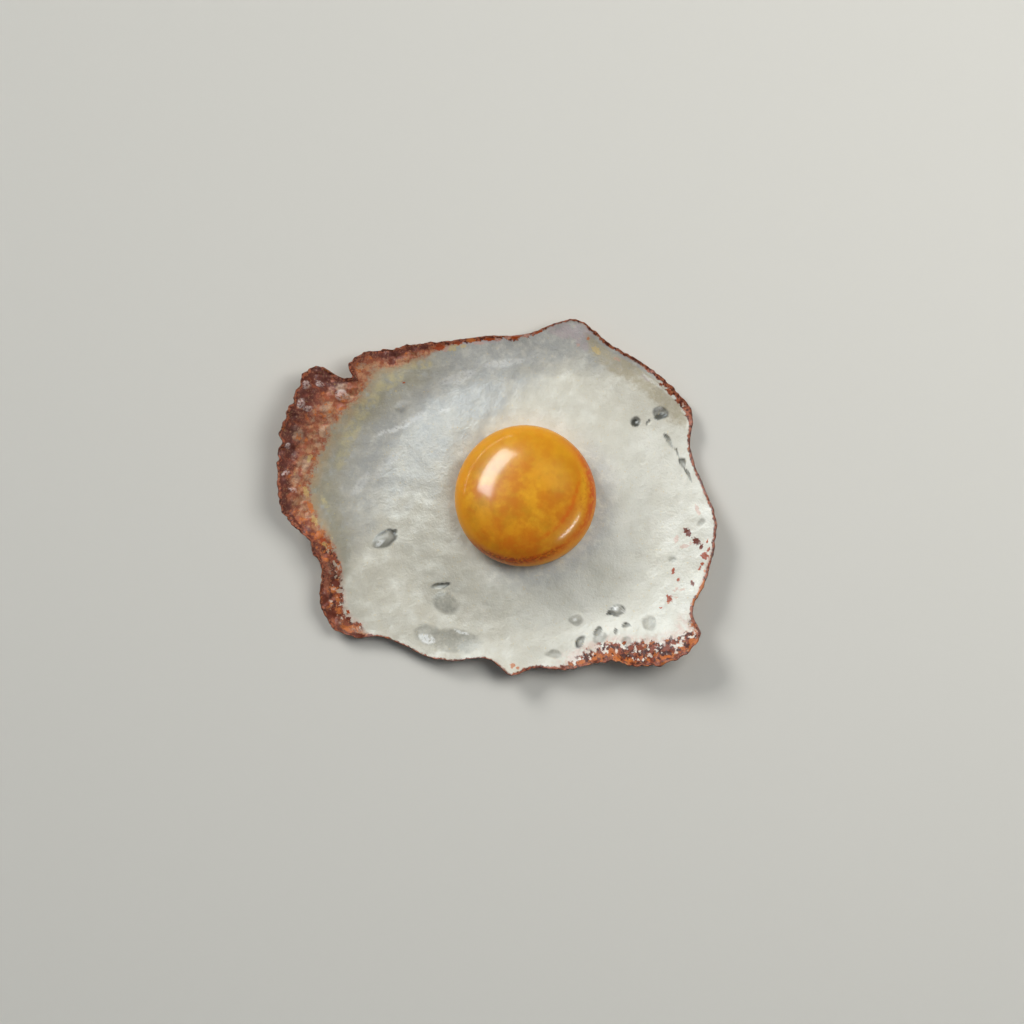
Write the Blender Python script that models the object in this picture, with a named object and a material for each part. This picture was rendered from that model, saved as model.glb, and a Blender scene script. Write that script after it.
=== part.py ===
"""A fried egg, sunny side up: a set white with a curled, crisp rim, and a yolk seated in it.

Metres, +Z up. The origin is the middle of the egg's footprint, on the surface that it lies on, and
+X is its long way. The white and the yolk are two solids, a hair's gap apart. The sizes below are
millimetres, and MM turns them into metres where a mesh takes its place.
"""

import math

import bmesh
import bpy
import numpy as np
from mathutils import Vector, noise

MM = 0.001

# The rim, station by station, counter-clockwise seen from above: where it runs (x, y), how high its
# underside curls off the surface, and how far the crisp crust reaches in from it.
LEFT_CRUST = (
    (-43.4, 33.8, 6.6, 10.0),
    (-50.2, 36.8, 7.5, 16.0),
    (-53.6, 35.4, 8.0, 15.5),
    (-56.0, 30.5, 8.5, 15.0),
    (-58.1, 24.6, 9.0, 13.5),
    (-60.7, 16.6, 9.2, 12.0),
    (-61.4, 8.8, 9.2, 10.0),
    (-61.3, 1.0, 8.8, 8.0),
    (-59.9, -5.5, 8.0, 7.0),
    (-56.9, -7.5, 7.6, 6.2),
    (-52.2, -14.1, 6.8, 5.2),
    (-49.3, -20.3, 5.6, 4.2),
    (-50.1, -26.0, 5.0, 5.4),
    (-47.1, -35.1, 3.8, 4.6),
    (-44.9, -37.2, 3.4, 4.0),
    (-39.4, -39.3, 3.0, 2.8),
)
LOW_RIM = (
    (-34.6, -38.9, 2.8, 1.4),
    (-24.4, -42.1, 2.9, 0.8),
    (-19.5, -44.6, 3.2, 0.8),
    (-13.0, -45.6, 3.4, 0.9),
    (-1.5, -45.6, 4.4, 0.8),
    (3.9, -49.8, 5.6, 1.2),
    (8.9, -48.0, 5.0, 0.7),
    (19.5, -48.2, 5.2, 1.4),
    (31.3, -45.9, 6.4, 4.0),
    (39.9, -47.5, 7.6, 5.2),
    (51.3, -44.7, 8.4, 4.4),
)
RIGHT_RIM = (
    (56.8, -37.9, 7.8, 1.8),
    (54.6, -32.7, 7.0, 1.0),
    (58.8, -22.2, 6.2, 1.6),
    (61.1, -11.5, 5.6, 1.4),
    (61.4, -6.6, 5.2, 1.2),
    (58.9, 0.8, 4.4, 0.8),
    (54.0, 15.0, 2.6, 0.6),
    (54.7, 23.8, 2.6, 2.0),
    (51.0, 28.8, 3.0, 1.5),
)
TOP_RIM = (
    (40.6, 37.8, 4.6, 1.4),
    (31.2, 43.3, 5.2, 1.1),
    (26.6, 47.1, 6.2, 1.2),
    (24.3, 49.0, 6.5, 1.1),
    (21.6, 49.8, 6.6, 1.1),
    (17.4, 49.0, 6.4, 1.1),
    (8.0, 45.8, 5.6, 1.1),
    (-5.1, 45.0, 5.4, 1.2),
    (-16.9, 43.5, 5.8, 2.6),
    (-25.4, 43.1, 6.2, 5.0),
    (-33.6, 41.0, 6.6, 5.0),
    (-39.5, 39.8, 7.0, 3.5),
    (-41.6, 37.0, 6.9, 3.5),
    (-40.7, 33.8, 6.6, 4.0),
)
RIM_STATIONS = LEFT_CRUST + LOW_RIM + RIGHT_RIM + TOP_RIM

# The curl: its width grows with its lift, and small ruffles run along it.
CURL_BASE_WIDTH = 12.0
CURL_WIDTH_PER_LIFT = 1.6
RUFFLE_LIFT_SHARE = 0.4
RUFFLE_LENGTH = 9.0

# The crags of the browned edge, in the plan of the rim and as relief on its top. Smaller crumbs
# ride on the crags, and the whole edge is set back by half their reach.
CRAG_LENGTH = 3.4
CRAG_SIZE = 1.4
CRUMB_LENGTH = 1.48
CRUMB_SIZE = 0.7
CRAG_SETBACK = 0.5
CRAG_REACH_LEAST = 0.1
CRAG_REACH_PER_CRUST = 0.1
CRAG_REACH_MOST = 0.9
CRUST_RELIEF = 0.5
CRUST_RELIEF_LENGTH = 2.8
CRUST_FADE = 2.5

# The white: a thin sheet that tapers to the rim, with the thick albumen mounded round the yolk.
RIM_THICKNESS = 1.2
SHEET_THICKNESS = 2.4
TAPER_WIDTH = 10.0
MOUND_HEIGHT = 4.4
MOUND_FULL_RADIUS = 22.0
MOUND_END_RADIUS = 41.0
SWELL_HEIGHT = 0.35
SWELL_LENGTH = 11.0
SWELL_FADE = 4.0
EDGE_ROUNDING = 0.35

# The yolk: a flattened ball, fuller below its widest level than above it.
YOLK_CENTRE = (7.9, 0.3)
YOLK_RADIUS = 19.8
YOLK_WIDEST_LEVEL = 9.8
YOLK_UPPER_HEIGHT = 10.0
YOLK_LOWER_HEIGHT = 8.3
YOLK_UPPER_FULLNESS = 2.15
YOLK_LOWER_FULLNESS = 2.3
YOLK_WOBBLE = 0.012
YOLK_LOBES = 3
YOLK_LOBES_TURN = 0.4
SEAT_GAP = 0.35

# Blisters (raised) and hollows (sunk) in the white: x, y, length, width, turn in degrees, height.
BLISTER_BULGE = 1.5
BLISTERS = (
    (-31.6, -11.7, 8.0, 5.0, 30.0, 1.0),
    (-14.2, -29.4, 7.5, 6.5, -30.0, 0.9),
    (-12.0, -40.8, 15.0, 6.5, -4.0, -0.7),
    (46.2, 23.9, 4.8, 3.2, 15.0, -0.8),
    (38.8, 21.4, 3.2, 3.2, 0.0, -0.8),
    (49.3, 15.4, 5.2, 2.4, -55.0, -0.7),
    (53.0, 9.1, 4.6, 2.4, -62.0, -0.7),
    (34.2, -31.9, 5.2, 3.2, 20.0, 0.7),
    (23.9, -41.3, 4.2, 2.8, 45.0, -0.6),
    (28.8, -38.2, 4.0, 2.6, 40.0, -0.6),
    (43.0, -35.6, 4.4, 4.2, 0.0, -0.5),
    (16.5, -44.6, 5.2, 3.2, 0.0, -0.5),
)

# Each uneven field is read in a layer of its own.
CRAG_LAYER, CRUMB_LAYER, RUFFLE_LAYER, SWELL_LAYER, CRUST_LAYER = 1.0, 2.0, 3.0, 4.0, 5.0

# Plain colours for the two solids, and how rough they are.
WHITE_COLOUR = (0.74, 0.73, 0.66)
WHITE_ROUGHNESS = 0.38
YOLK_COLOUR = (0.66, 0.29, 0.025)
YOLK_ROUGHNESS = 0.2

# How finely the faceted solids are cut.
SPAN_STEPS = 24
OUTLINE_SAMPLES = 1440
COLUMNS = 150
COLUMNS_PER_CRUST = 0.1
TOP_RINGS = 17
RING_CROWDING = 1.3
SEAT_RINGS = (0.965, 0.9, 0.8, 0.66, 0.47, 0.25)
UNDER_RINGS = (16, 14, 12, 10, 8, 5, 1)
YOLK_COLUMNS = 48
YOLK_ROWS = 24
LIP_SPREAD = 8
LIP_TURN = 16.0
NEAREST = 0.15
SHARP_FOLD = 38.0


def smoothstep(value):
    """Zero below 0, one above 1, and a smooth slope between."""
    held = np.clip(value, 0.0, 1.0)
    return held * held * (3.0 - 2.0 * held)


def ripple(x, y, length, layer):
    """A smooth uneven field of about plus or minus one half, for arrays of places."""
    flat = [noise.noise(Vector((a / length, b / length, layer))) for a, b in zip(x.flat, y.flat)]
    return np.array(flat).reshape(x.shape)


def loop_through(stations, samples):
    """A closed smooth curve through the stations, sampled at equal steps along its plan."""
    knots = np.array(stations)
    ahead = np.roll(knots, -1, axis=0) - knots
    span = np.hypot(ahead[:, 0], ahead[:, 1])[:, None]
    slope = ahead / span
    span_before = np.roll(span, 1, axis=0)
    tangent = (np.roll(slope, 1, axis=0) * span + slope * span_before) / (span + span_before)
    dense = []
    for u in np.linspace(0.0, 1.0, SPAN_STEPS, endpoint=False):
        start = (1 + 2 * u) * (1 - u) ** 2 * knots + u * (1 - u) ** 2 * span * tangent
        end = u * u * (3 - 2 * u) * np.roll(knots, -1, axis=0)
        dense.append(start + end - u * u * (1 - u) * span * np.roll(tangent, -1, axis=0))
    path = np.stack(dense, axis=1).reshape(-1, knots.shape[1])
    return even_steps(path, samples)


def even_steps(path, samples):
    """The closed path again, at equal steps along its plan."""
    closed = np.vstack([path, path[:1]])
    step = np.hypot(np.diff(closed[:, 0]), np.diff(closed[:, 1]))
    along = np.concatenate([[0.0], np.cumsum(step)])
    wanted = np.linspace(0.0, along[-1], samples, endpoint=False)
    return np.stack([np.interp(wanted, along, column) for column in closed.T], axis=1)


def outward(path):
    """Unit normals of a counter-clockwise closed path, in plan."""
    along = np.roll(path, -1, axis=0)[:, :2] - np.roll(path, 1, axis=0)[:, :2]
    along /= np.linalg.norm(along, axis=1)[:, None]
    return np.stack([along[:, 1], -along[:, 0]], axis=1)


def craggy_rim():
    """The rim as one fine closed path, with the crags of its crust, centred on the origin."""
    rim = loop_through(RIM_STATIONS, OUTLINE_SAMPLES)
    reach = np.minimum(CRAG_REACH_MOST, CRAG_REACH_LEAST + CRAG_REACH_PER_CRUST * rim[:, 3])
    crags = CRAG_SIZE * ripple(rim[:, 0], rim[:, 1], CRAG_LENGTH, CRAG_LAYER)
    crags += CRUMB_SIZE * ripple(rim[:, 0], rim[:, 1], CRUMB_LENGTH, CRUMB_LAYER)
    away = rim[:, :2] - YOLK_CENTRE
    away /= np.linalg.norm(away, axis=1)[:, None]
    rim[:, :2] += away * (reach * (crags - CRAG_SETBACK))[:, None]
    rim[:, :2] -= (rim[:, :2].min(axis=0) + rim[:, :2].max(axis=0)) / 2
    return rim


def column_picks(crust):
    """Which samples of the rim the columns end at: closer together where the crust is wide."""
    weight = np.cumsum(1.0 + COLUMNS_PER_CRUST * crust)
    wanted = np.arange(COLUMNS) / COLUMNS * weight[-1]
    return np.searchsorted(weight, wanted)


class Rim:
    """The craggy rim, and what a place inside it takes from the stretch of rim nearest to it."""

    def __init__(self):
        self.path = craggy_rim()
        self.step = np.hypot(*(self.path[1, :2] - self.path[0, :2]))
        ruffles = ripple(self.path[:, 0], self.path[:, 1], RUFFLE_LENGTH, RUFFLE_LAYER)
        self.path[:, 2] *= 1.0 + RUFFLE_LIFT_SHARE * ruffles

    def round_about(self, places):
        """For each place: its distance in from the rim, and the lift and the crust of the rim there.

        Every sample of the rim counts by the inverse fourth power of its distance, so the three
        fields have no creases. Along a straight rim the distance is the true one.
        """
        away = places[:, None, :] - self.path[None, :, :2]
        pull = self.step / np.maximum(np.sum(away**2, axis=2), NEAREST**2) ** 2
        total = pull.sum(axis=1)
        distance = (total / (math.pi / 2)) ** (-1 / 3)
        return distance, pull @ self.path[:, 2] / total, pull @ self.path[:, 3] / total


def column_grid(rim, shares):
    """Rings of places from the yolk's lip to the rim.

    The columns leave the lip evenly spread, and a little turned so that they clear the notch's wall.
    """
    ends = rim.path[column_picks(rim.path[:, 3]), :2]
    away = ends - YOLK_CENTRE
    even = np.arange(COLUMNS) / COLUMNS * math.tau
    drift = np.unwrap(np.arctan2(away[:, 1], away[:, 0])) - even
    shifts = range(-LIP_SPREAD, LIP_SPREAD + 1)
    heading = even + sum(np.roll(drift, shift) for shift in shifts) / len(shifts)
    heading += math.radians(LIP_TURN)
    lip = YOLK_CENTRE + lip_radius() * np.stack([np.cos(heading), np.sin(heading)], axis=1)
    return lip + shares[:, None, None] * (ends - lip)


def under_height(from_rim, lift):
    """The underside's height above the surface: flat in the middle, and curled at the rim."""
    curl = CURL_BASE_WIDTH + CURL_WIDTH_PER_LIFT * lift
    return lift * np.clip(1.0 - from_rim / curl, 0.0, 1.0) ** 2


def top_height(places, from_rim, lift, crust):
    """The top's height above the surface, from the thin rim up to the mound at the yolk."""
    x, y = places.T
    from_yolk = np.hypot(x - YOLK_CENTRE[0], y - YOLK_CENTRE[1])
    mound_share = (MOUND_END_RADIUS - from_yolk) / (MOUND_END_RADIUS - MOUND_FULL_RADIUS)
    sheet = smoothstep(from_rim / TAPER_WIDTH) * (SHEET_THICKNESS - RIM_THICKNESS)
    height = under_height(from_rim, lift) + RIM_THICKNESS + sheet
    height += MOUND_HEIGHT * smoothstep(mound_share)
    clear_of_yolk = smoothstep((from_yolk - lip_radius()) / SWELL_FADE)
    height += SWELL_HEIGHT * ripple(x, y, SWELL_LENGTH, SWELL_LAYER) * clear_of_yolk
    browned = smoothstep((crust - from_rim) / CRUST_FADE)
    height += CRUST_RELIEF * ripple(x, y, CRUST_RELIEF_LENGTH, CRUST_LAYER) * browned
    return height + blister_height(x, y)


def blister_height(x, y):
    """The sum of the blisters and hollows at each place."""
    total = np.zeros_like(x)
    for centre_x, centre_y, length, width, turn, height in BLISTERS:
        cosine, sine = math.cos(math.radians(turn)), math.sin(math.radians(turn))
        along = ((x - centre_x) * cosine + (y - centre_y) * sine) / (length / 2)
        across = ((y - centre_y) * cosine - (x - centre_x) * sine) / (width / 2)
        total += height * np.clip(1.0 - along**2 - across**2, 0.0, 1.0) ** BLISTER_BULGE
    return total


def seat_height(radius):
    """The height of the yolk's seat at a distance from the yolk's middle."""
    share = min(1.0, radius / (YOLK_RADIUS + SEAT_GAP)) ** YOLK_LOWER_FULLNESS
    depth = (YOLK_LOWER_HEIGHT + SEAT_GAP) * (1.0 - share) ** (1.0 / YOLK_LOWER_FULLNESS)
    return YOLK_WIDEST_LEVEL - depth


def lip_radius():
    """Where the mound's top meets the yolk's seat."""
    lip_height = SHEET_THICKNESS + MOUND_HEIGHT
    drop = (YOLK_WIDEST_LEVEL - lip_height) / (YOLK_LOWER_HEIGHT + SEAT_GAP)
    share = (1.0 - drop**YOLK_LOWER_FULLNESS) ** (1.0 / YOLK_LOWER_FULLNESS)
    return (YOLK_RADIUS + SEAT_GAP) * share


def white_section():
    """The white's rings in order, from the seat's floor over the top and the rim to the underside."""
    rim = Rim()
    top_shares = 1.0 - (1.0 - np.arange(TOP_RINGS + 1) / TOP_RINGS) ** RING_CROWDING
    grid = column_grid(rim, top_shares)
    yolk_middle = np.array(YOLK_CENTRE)
    rings = []
    for share in reversed(SEAT_RINGS):
        height = seat_height(share * lip_radius())
        rings.append((yolk_middle + share * (grid[0] - yolk_middle), np.full(COLUMNS, height)))
    for places in grid[:-1]:
        rings.append((places, top_height(places, *rim.round_about(places))))
    tip = grid[-1]
    inset = tip - outward(tip) * EDGE_ROUNDING
    around = rim.round_about(inset)
    floor = under_height(around[0], around[1])
    rings.append((inset, top_height(inset, *around)))
    rings.append((tip, floor + RIM_THICKNESS / 2))
    rings.append((inset, floor))
    for places in grid[UNDER_RINGS, :]:
        rings.append((places, under_height(*rim.round_about(places)[:2])))
    return rings


def spun_blank(ring_count):
    """A ring-shaped blank with one level for each ring of the section, as wide as its ring number."""
    blank = bmesh.new()
    profile = [blank.verts.new((1.0, 0.0, float(level))) for level in range(ring_count)]
    edges = [blank.edges.new(pair) for pair in zip(profile, profile[1:])]
    bmesh.ops.spin(
        blank,
        geom=profile + edges,
        axis=(0.0, 0.0, 1.0),
        cent=(0.0, 0.0, 0.0),
        steps=COLUMNS,
        angle=math.tau,
        use_merge=True,
    )
    return blank


def build_white():
    """The white: a spun blank pressed to the section's rings, closed at the seat and underneath."""
    rings = white_section()
    body = spun_blank(len(rings))
    for vert in body.verts:
        column = round(math.atan2(vert.co.y, vert.co.x) / math.tau * COLUMNS) % COLUMNS
        places, heights = rings[round(vert.co.z)]
        vert.co = Vector((*places[column], heights[column])) * MM
    bmesh.ops.holes_fill(body, edges=[edge for edge in body.edges if edge.is_boundary], sides=0)
    bmesh.ops.triangulate(body, faces=body.faces[:], quad_method="SHORT_EDGE")
    bmesh.ops.recalc_face_normals(body, faces=body.faces[:])
    return body


def build_yolk():
    """The yolk: a ball pressed to its full lower and flatter upper half, with a slight wobble."""
    ball = bmesh.new()
    bmesh.ops.create_uvsphere(ball, u_segments=YOLK_COLUMNS, v_segments=YOLK_ROWS, radius=1.0)
    for vert in ball.verts:
        upper = vert.co.z > 0.0
        fullness = YOLK_UPPER_FULLNESS if upper else YOLK_LOWER_FULLNESS
        height = YOLK_UPPER_HEIGHT if upper else YOLK_LOWER_HEIGHT
        spread = min(1.0, math.hypot(vert.co.x, vert.co.y))
        bearing = math.atan2(vert.co.y, vert.co.x)
        level = (1.0 - spread**fullness) ** (1.0 / fullness)
        dent = 0.5 + 0.5 * math.sin(YOLK_LOBES * bearing - YOLK_LOBES_TURN)
        radius = YOLK_RADIUS * spread * (1.0 - YOLK_WOBBLE * dent * spread)
        vert.co = MM * Vector(
            (
                YOLK_CENTRE[0] + radius * math.cos(bearing),
                YOLK_CENTRE[1] + radius * math.sin(bearing),
                YOLK_WIDEST_LEVEL + math.copysign(height * level, vert.co.z),
            )
        )
    return ball


def plain_material(name, colour, roughness):
    """A Principled material of one colour."""
    material = bpy.data.materials.new(name)
    material.use_nodes = True
    shader = material.node_tree.nodes["Principled BSDF"]
    shader.inputs["Base Color"].default_value = (*colour, 1.0)
    shader.inputs["Roughness"].default_value = roughness
    shader.inputs["Metallic"].default_value = 0.0
    return material


def add_node(name, body, material):
    """One named object from a finished bmesh, shaded smooth but for its sharp folds."""
    mesh = bpy.data.meshes.new(name)
    body.to_mesh(mesh)
    body.free()
    mesh.shade_smooth()
    mesh.set_sharp_from_angle(angle=math.radians(SHARP_FOLD))
    mesh.materials.append(material)
    node = bpy.data.objects.new(name, mesh)
    bpy.context.scene.collection.objects.link(node)
    return node


def main():
    """Clears the scene and builds the egg."""
    for old in list(bpy.data.objects):
        bpy.data.objects.remove(old)
    add_node("egg_white", build_white(), plain_material("set_white", WHITE_COLOUR, WHITE_ROUGHNESS))
    add_node("yolk", build_yolk(), plain_material("yolk_amber", YOLK_COLOUR, YOLK_ROUGHNESS))


main()
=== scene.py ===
"""The looks of a sunny-side-up fried egg: its set white, its browned rim and its glossy yolk.

The frame is in metres with +Z up, and the egg lies on z = 0 with its long way along X. Sizes and
places of the egg are named in millimetres here, as they are in its solids, and MM turns them into
metres where a mesh takes its place.
"""

import logging
import math
from dataclasses import dataclass, field
from enum import Enum

import bmesh
import bpy
import numpy as np
from mathutils import Matrix, Vector, noise


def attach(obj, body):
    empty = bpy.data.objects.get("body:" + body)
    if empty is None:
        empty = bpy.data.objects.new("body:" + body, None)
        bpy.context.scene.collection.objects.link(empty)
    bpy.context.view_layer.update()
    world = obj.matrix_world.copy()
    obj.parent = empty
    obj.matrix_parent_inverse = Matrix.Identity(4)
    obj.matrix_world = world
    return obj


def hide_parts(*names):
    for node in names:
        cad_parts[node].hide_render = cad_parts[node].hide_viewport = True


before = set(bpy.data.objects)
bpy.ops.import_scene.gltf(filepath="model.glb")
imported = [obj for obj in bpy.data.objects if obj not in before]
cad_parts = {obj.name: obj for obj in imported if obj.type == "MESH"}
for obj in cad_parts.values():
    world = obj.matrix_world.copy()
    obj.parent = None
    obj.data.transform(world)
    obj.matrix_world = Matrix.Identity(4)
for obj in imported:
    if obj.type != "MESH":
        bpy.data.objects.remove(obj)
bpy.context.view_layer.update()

MM = 0.001

Colour = tuple[float, float, float]
Array = np.ndarray
Socket = bpy.types.NodeSocket

# The rim, station by station, counter-clockwise seen from above: where it runs (x, y), how high its
# underside curls off the surface, and how far the crisp crust reaches in from it.
LEFT_CRUST = (
    (-43.4, 33.8, 6.6, 10.0),
    (-50.2, 36.8, 7.5, 16.0),
    (-53.6, 35.4, 8.0, 15.5),
    (-56.0, 30.5, 8.5, 15.0),
    (-58.1, 24.6, 9.0, 13.5),
    (-60.7, 16.6, 9.2, 12.0),
    (-61.4, 8.8, 9.2, 10.0),
    (-61.3, 1.0, 8.8, 8.0),
    (-59.9, -5.5, 8.0, 7.0),
    (-56.9, -7.5, 7.6, 6.2),
    (-52.2, -14.1, 6.8, 5.2),
    (-49.3, -20.3, 5.6, 4.2),
    (-50.1, -26.0, 5.0, 5.4),
    (-47.1, -35.1, 3.8, 4.6),
    (-44.9, -37.2, 3.4, 4.0),
    (-39.4, -39.3, 3.0, 2.8),
)
LOW_RIM = (
    (-34.6, -38.9, 2.8, 1.4),
    (-24.4, -42.1, 2.9, 0.8),
    (-19.5, -44.6, 3.2, 0.8),
    (-13.0, -45.6, 3.4, 0.9),
    (-1.5, -45.6, 4.4, 0.8),
    (3.9, -49.8, 5.6, 1.2),
    (8.9, -48.0, 5.0, 0.7),
    (19.5, -48.2, 5.2, 1.4),
    (31.3, -45.9, 6.4, 4.0),
    (39.9, -47.5, 7.6, 5.2),
    (51.3, -44.7, 8.4, 4.4),
)
RIGHT_RIM = (
    (56.8, -37.9, 7.8, 1.8),
    (54.6, -32.7, 7.0, 1.0),
    (58.8, -22.2, 6.2, 1.6),
    (61.1, -11.5, 5.6, 1.4),
    (61.4, -6.6, 5.2, 1.2),
    (58.9, 0.8, 4.4, 0.8),
    (54.0, 15.0, 2.6, 0.6),
    (54.7, 23.8, 2.6, 2.0),
    (51.0, 28.8, 3.0, 1.5),
)
TOP_RIM = (
    (40.6, 37.8, 4.6, 1.4),
    (31.2, 43.3, 5.2, 1.1),
    (26.6, 47.1, 6.2, 1.2),
    (24.3, 49.0, 6.5, 1.1),
    (21.6, 49.8, 6.6, 1.1),
    (17.4, 49.0, 6.4, 1.1),
    (8.0, 45.8, 5.6, 1.1),
    (-5.1, 45.0, 5.4, 1.2),
    (-16.9, 43.5, 5.8, 2.6),
    (-25.4, 43.1, 6.2, 5.0),
    (-33.6, 41.0, 6.6, 5.0),
    (-39.5, 39.8, 7.0, 3.5),
    (-41.6, 37.0, 6.9, 3.5),
    (-40.7, 33.8, 6.6, 4.0),
)
RIM_STATIONS = LEFT_CRUST + LOW_RIM + RIGHT_RIM + TOP_RIM

YOLK_CENTRE = (7.9, 0.3)

# How rough the clouds of every cloudy pattern are.
CLOUD_ROUGHNESS = 0.6

# How close to a mark's middle its edge is, how wide the edge is, and how much of its strength runs
# all round. The rest is on its edge side. At a pit or a dome the edge is painted shade, and round a
# crust bubble it is a painted highlight.
EDGE_CLOSENESS = 0.22
EDGE_WIDTH = 0.3
EDGE_ALL_ROUND = 0.6

# How far from its middle a packed bubble ends in a crease, as a share of its size.
BUBBLE_REACH = 0.75


class Kind(Enum):
    """The kinds of mark that bubbles leave in the white."""

    # Painted shade: the dark edge of a pit and the dark foot of a dome.
    PIT = "an open bubble, sunk and dark at its edge"
    BLISTER = "a closed bubble that stands up"
    DOME = "a thin-skinned bubble that stands up, with a dark foot"
    THIN = "a flat patch so thin that it looks grey"
    # Painted highlight: a crust bubble's paler top, and its pale ring, brightest towards the light.
    CRISP = "a bubble that stands up in the crust, paler on its top"
    DRY = "a dry tan patch in the crust"
    SCORCH = "a darker patch in the crust"
    STRAW = "a yellowish stroke in the white beside the crust"
    # Painted highlight: a pale stroke, a glint on a blister or pit, or the bright line inside the
    # rim.
    SHEEN = "a pale stroke in the white"
    BLUSH = "a mauve tinge in the white"


@dataclass(frozen=True)
class Spot:
    """An ellipse in plan.

    Attributes:
        x: Where its middle is along X, in millimetres.
        y: Where its middle is along Y, in millimetres.
        length: Its long diameter.
        width: Its short diameter.
        turn: How far its long way is turned from X, in degrees.
    """

    x: float
    y: float
    length: float
    width: float
    turn: float

    def closeness(self, x: Array, y: Array, spread: float = 1.0) -> Array:
        """Tells how near places are to the middle.

        Args:
            x: The places' x, in millimetres.
            y: The places' y, in millimetres.
            spread: How many times its own size the ellipse is taken to be.

        Returns:
            One at the middle, zero at the ellipse's edge, and negative outside it.
        """
        cosine, sine = math.cos(math.radians(self.turn)), math.sin(math.radians(self.turn))
        along = ((x - self.x) * cosine + (y - self.y) * sine) / (self.length * spread / 2)
        across = ((y - self.y) * cosine - (x - self.x) * sine) / (self.width * spread / 2)
        return 1.0 - along**2 - across**2


@dataclass(frozen=True)
class Mark(Spot):
    """One mark in the white.

    Attributes:
        relief: How far it stands up, or sinks where negative, in millimetres.
        strength: How much of its colour shows. A pit above 1 is dark in its middle too.
        edge_side: On which side its edge is strongest, as a bearing in degrees: the darkest side of a
            pit's or a dome's painted shade, the brightest side of a crust bubble's painted highlight.
        kind: What sort of mark it is.
    """

    relief: float = 0.0
    strength: float = 1.0
    edge_side: float = 120.0
    kind: Kind = field(kw_only=True)

    def edge(self, x: Array, y: Array) -> Array:
        """Tells how dark the mark's edge is at places, from zero to one."""
        # Painted shade at a pit's or a dome's edge, and a painted highlight round a crust bubble.
        bearing = np.arctan2(y - self.y, x - self.x) - math.radians(self.edge_side)
        ring = np.exp(-(((self.closeness(x, y) - EDGE_CLOSENESS) / EDGE_WIDTH) ** 2))
        return ring * (EDGE_ALL_ROUND + (1.0 - EDGE_ALL_ROUND) * np.cos(bearing))


def marks_of(kind: Kind, *rows: tuple[float, ...]) -> tuple[Mark, ...]:
    """Makes marks of one kind.

    Args:
        kind: What sort of marks they are.
        rows: Each mark's numbers, in the order of its attributes from x on.

    Returns:
        The marks.
    """
    return tuple(Mark(*row, kind=kind) for row in rows)


PITS = marks_of(
    Kind.PIT,
    (-29.0, -10.0, 2.4, 1.4, 48.0, -0.6, 1.0, 30.0), (-15.9, -24.6, 5.2, 1.5, 5.0, -0.7, 1.0, 40.0),
    (38.8, 21.2, 2.8, 2.6, 0.0, -0.9, 1.0, -60.0), (45.6, 23.6, 4.6, 3.0, 12.0, -0.9, 1.0, -70.0),
    (38.6, 20.9, 2.3, 2.1, 0.0, 0.0, 1.95, -60.0), (45.6, 22.7, 4.2, 1.9, 10.0, 0.0, 1.9, -80.0),
    (42.4, 21.0, 1.8, 0.8, 65.0, -0.4), (47.9, 15.9, 4.4, 1.3, -55.0, -0.6),
    (50.3, 12.6, 3.4, 0.6, -62.0, -0.4), (51.8, 9.8, 2.9, 1.7, -62.0, -0.6),
    (53.3, 6.4, 5.2, 0.6, -68.0, -0.4), (32.0, -32.4, 2.2, 1.2, 20.0, -0.7, 1.0, 200.0),
    (34.8, -30.9, 1.6, 0.8, 30.0, -0.5, 1.0, 60.0), (28.2, -37.4, 3.2, 1.7, 48.0, -0.6),
    (23.3, -40.2, 3.8, 2.2, 52.0, -0.6, 1.0, 200.0), (36.1, -35.8, 1.9, 1.6, 0.0, -0.5),
    (33.4, -37.5, 1.1, 1.5, 0.0, -0.4),
)
DOMES = marks_of(
    Kind.DOME,
    (-31.5, -11.7, 7.4, 4.4, 28.0, 1.0, 1.0, 60.0), (33.6, -31.5, 5.2, 2.8, 25.0, 0.7, 1.0, 210.0),
)
BLISTERS = marks_of(
    Kind.BLISTER,
    (-14.4, -29.4, 8.2, 6.6, -35.0, 0.7), (22.4, -34.0, 4.6, 3.6, 0.0, 0.35),
    (-26.5, 25.5, 4.6, 3.4, 30.0, 0.5),
)
# The faint wide patches over the mound, of strength 0.22 and under, lie on its slopes that face the
# light and darken them: painted shade.
THIN_PATCHES = marks_of(
    Kind.THIN,
    (-14.4, -29.4, 8.6, 6.4, -35.0), (-12.0, -40.2, 16.0, 7.2, -6.0, -0.5),
    (-18.8, -38.6, 9.6, 6.4, -20.0), (25.0, 35.6, 13.0, 5.0, -12.0, 0.0, 0.3),
    (7.0, 35.0, 14.0, 4.0, 4.0, 0.0, 0.22), (-2.4, 26.4, 11.0, 9.0, 0.0, 0.0, 0.22),
    (-13.0, 19.0, 16.0, 9.0, 45.0, 0.0, 0.2), (-17.0, 4.0, 11.0, 16.0, 0.0, 0.0, 0.16),
    (17.0, 27.0, 16.0, 6.0, -20.0, 0.0, 0.16), (42.6, -35.2, 4.4, 4.6, 0.0, -0.4),
    (16.0, -43.8, 4.8, 2.8, 0.0, -0.4), (36.2, -40.0, 2.6, 2.6, 0.0, -0.3),
    (57.0, -6.9, 2.8, 1.8, 45.0, -0.3), (28.9, -39.2, 4.4, 3.2, 30.0),
    (49.0, -17.2, 2.6, 1.8, 0.0, -0.2), (22.0, -34.2, 4.4, 3.4, 0.0),
)
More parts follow.
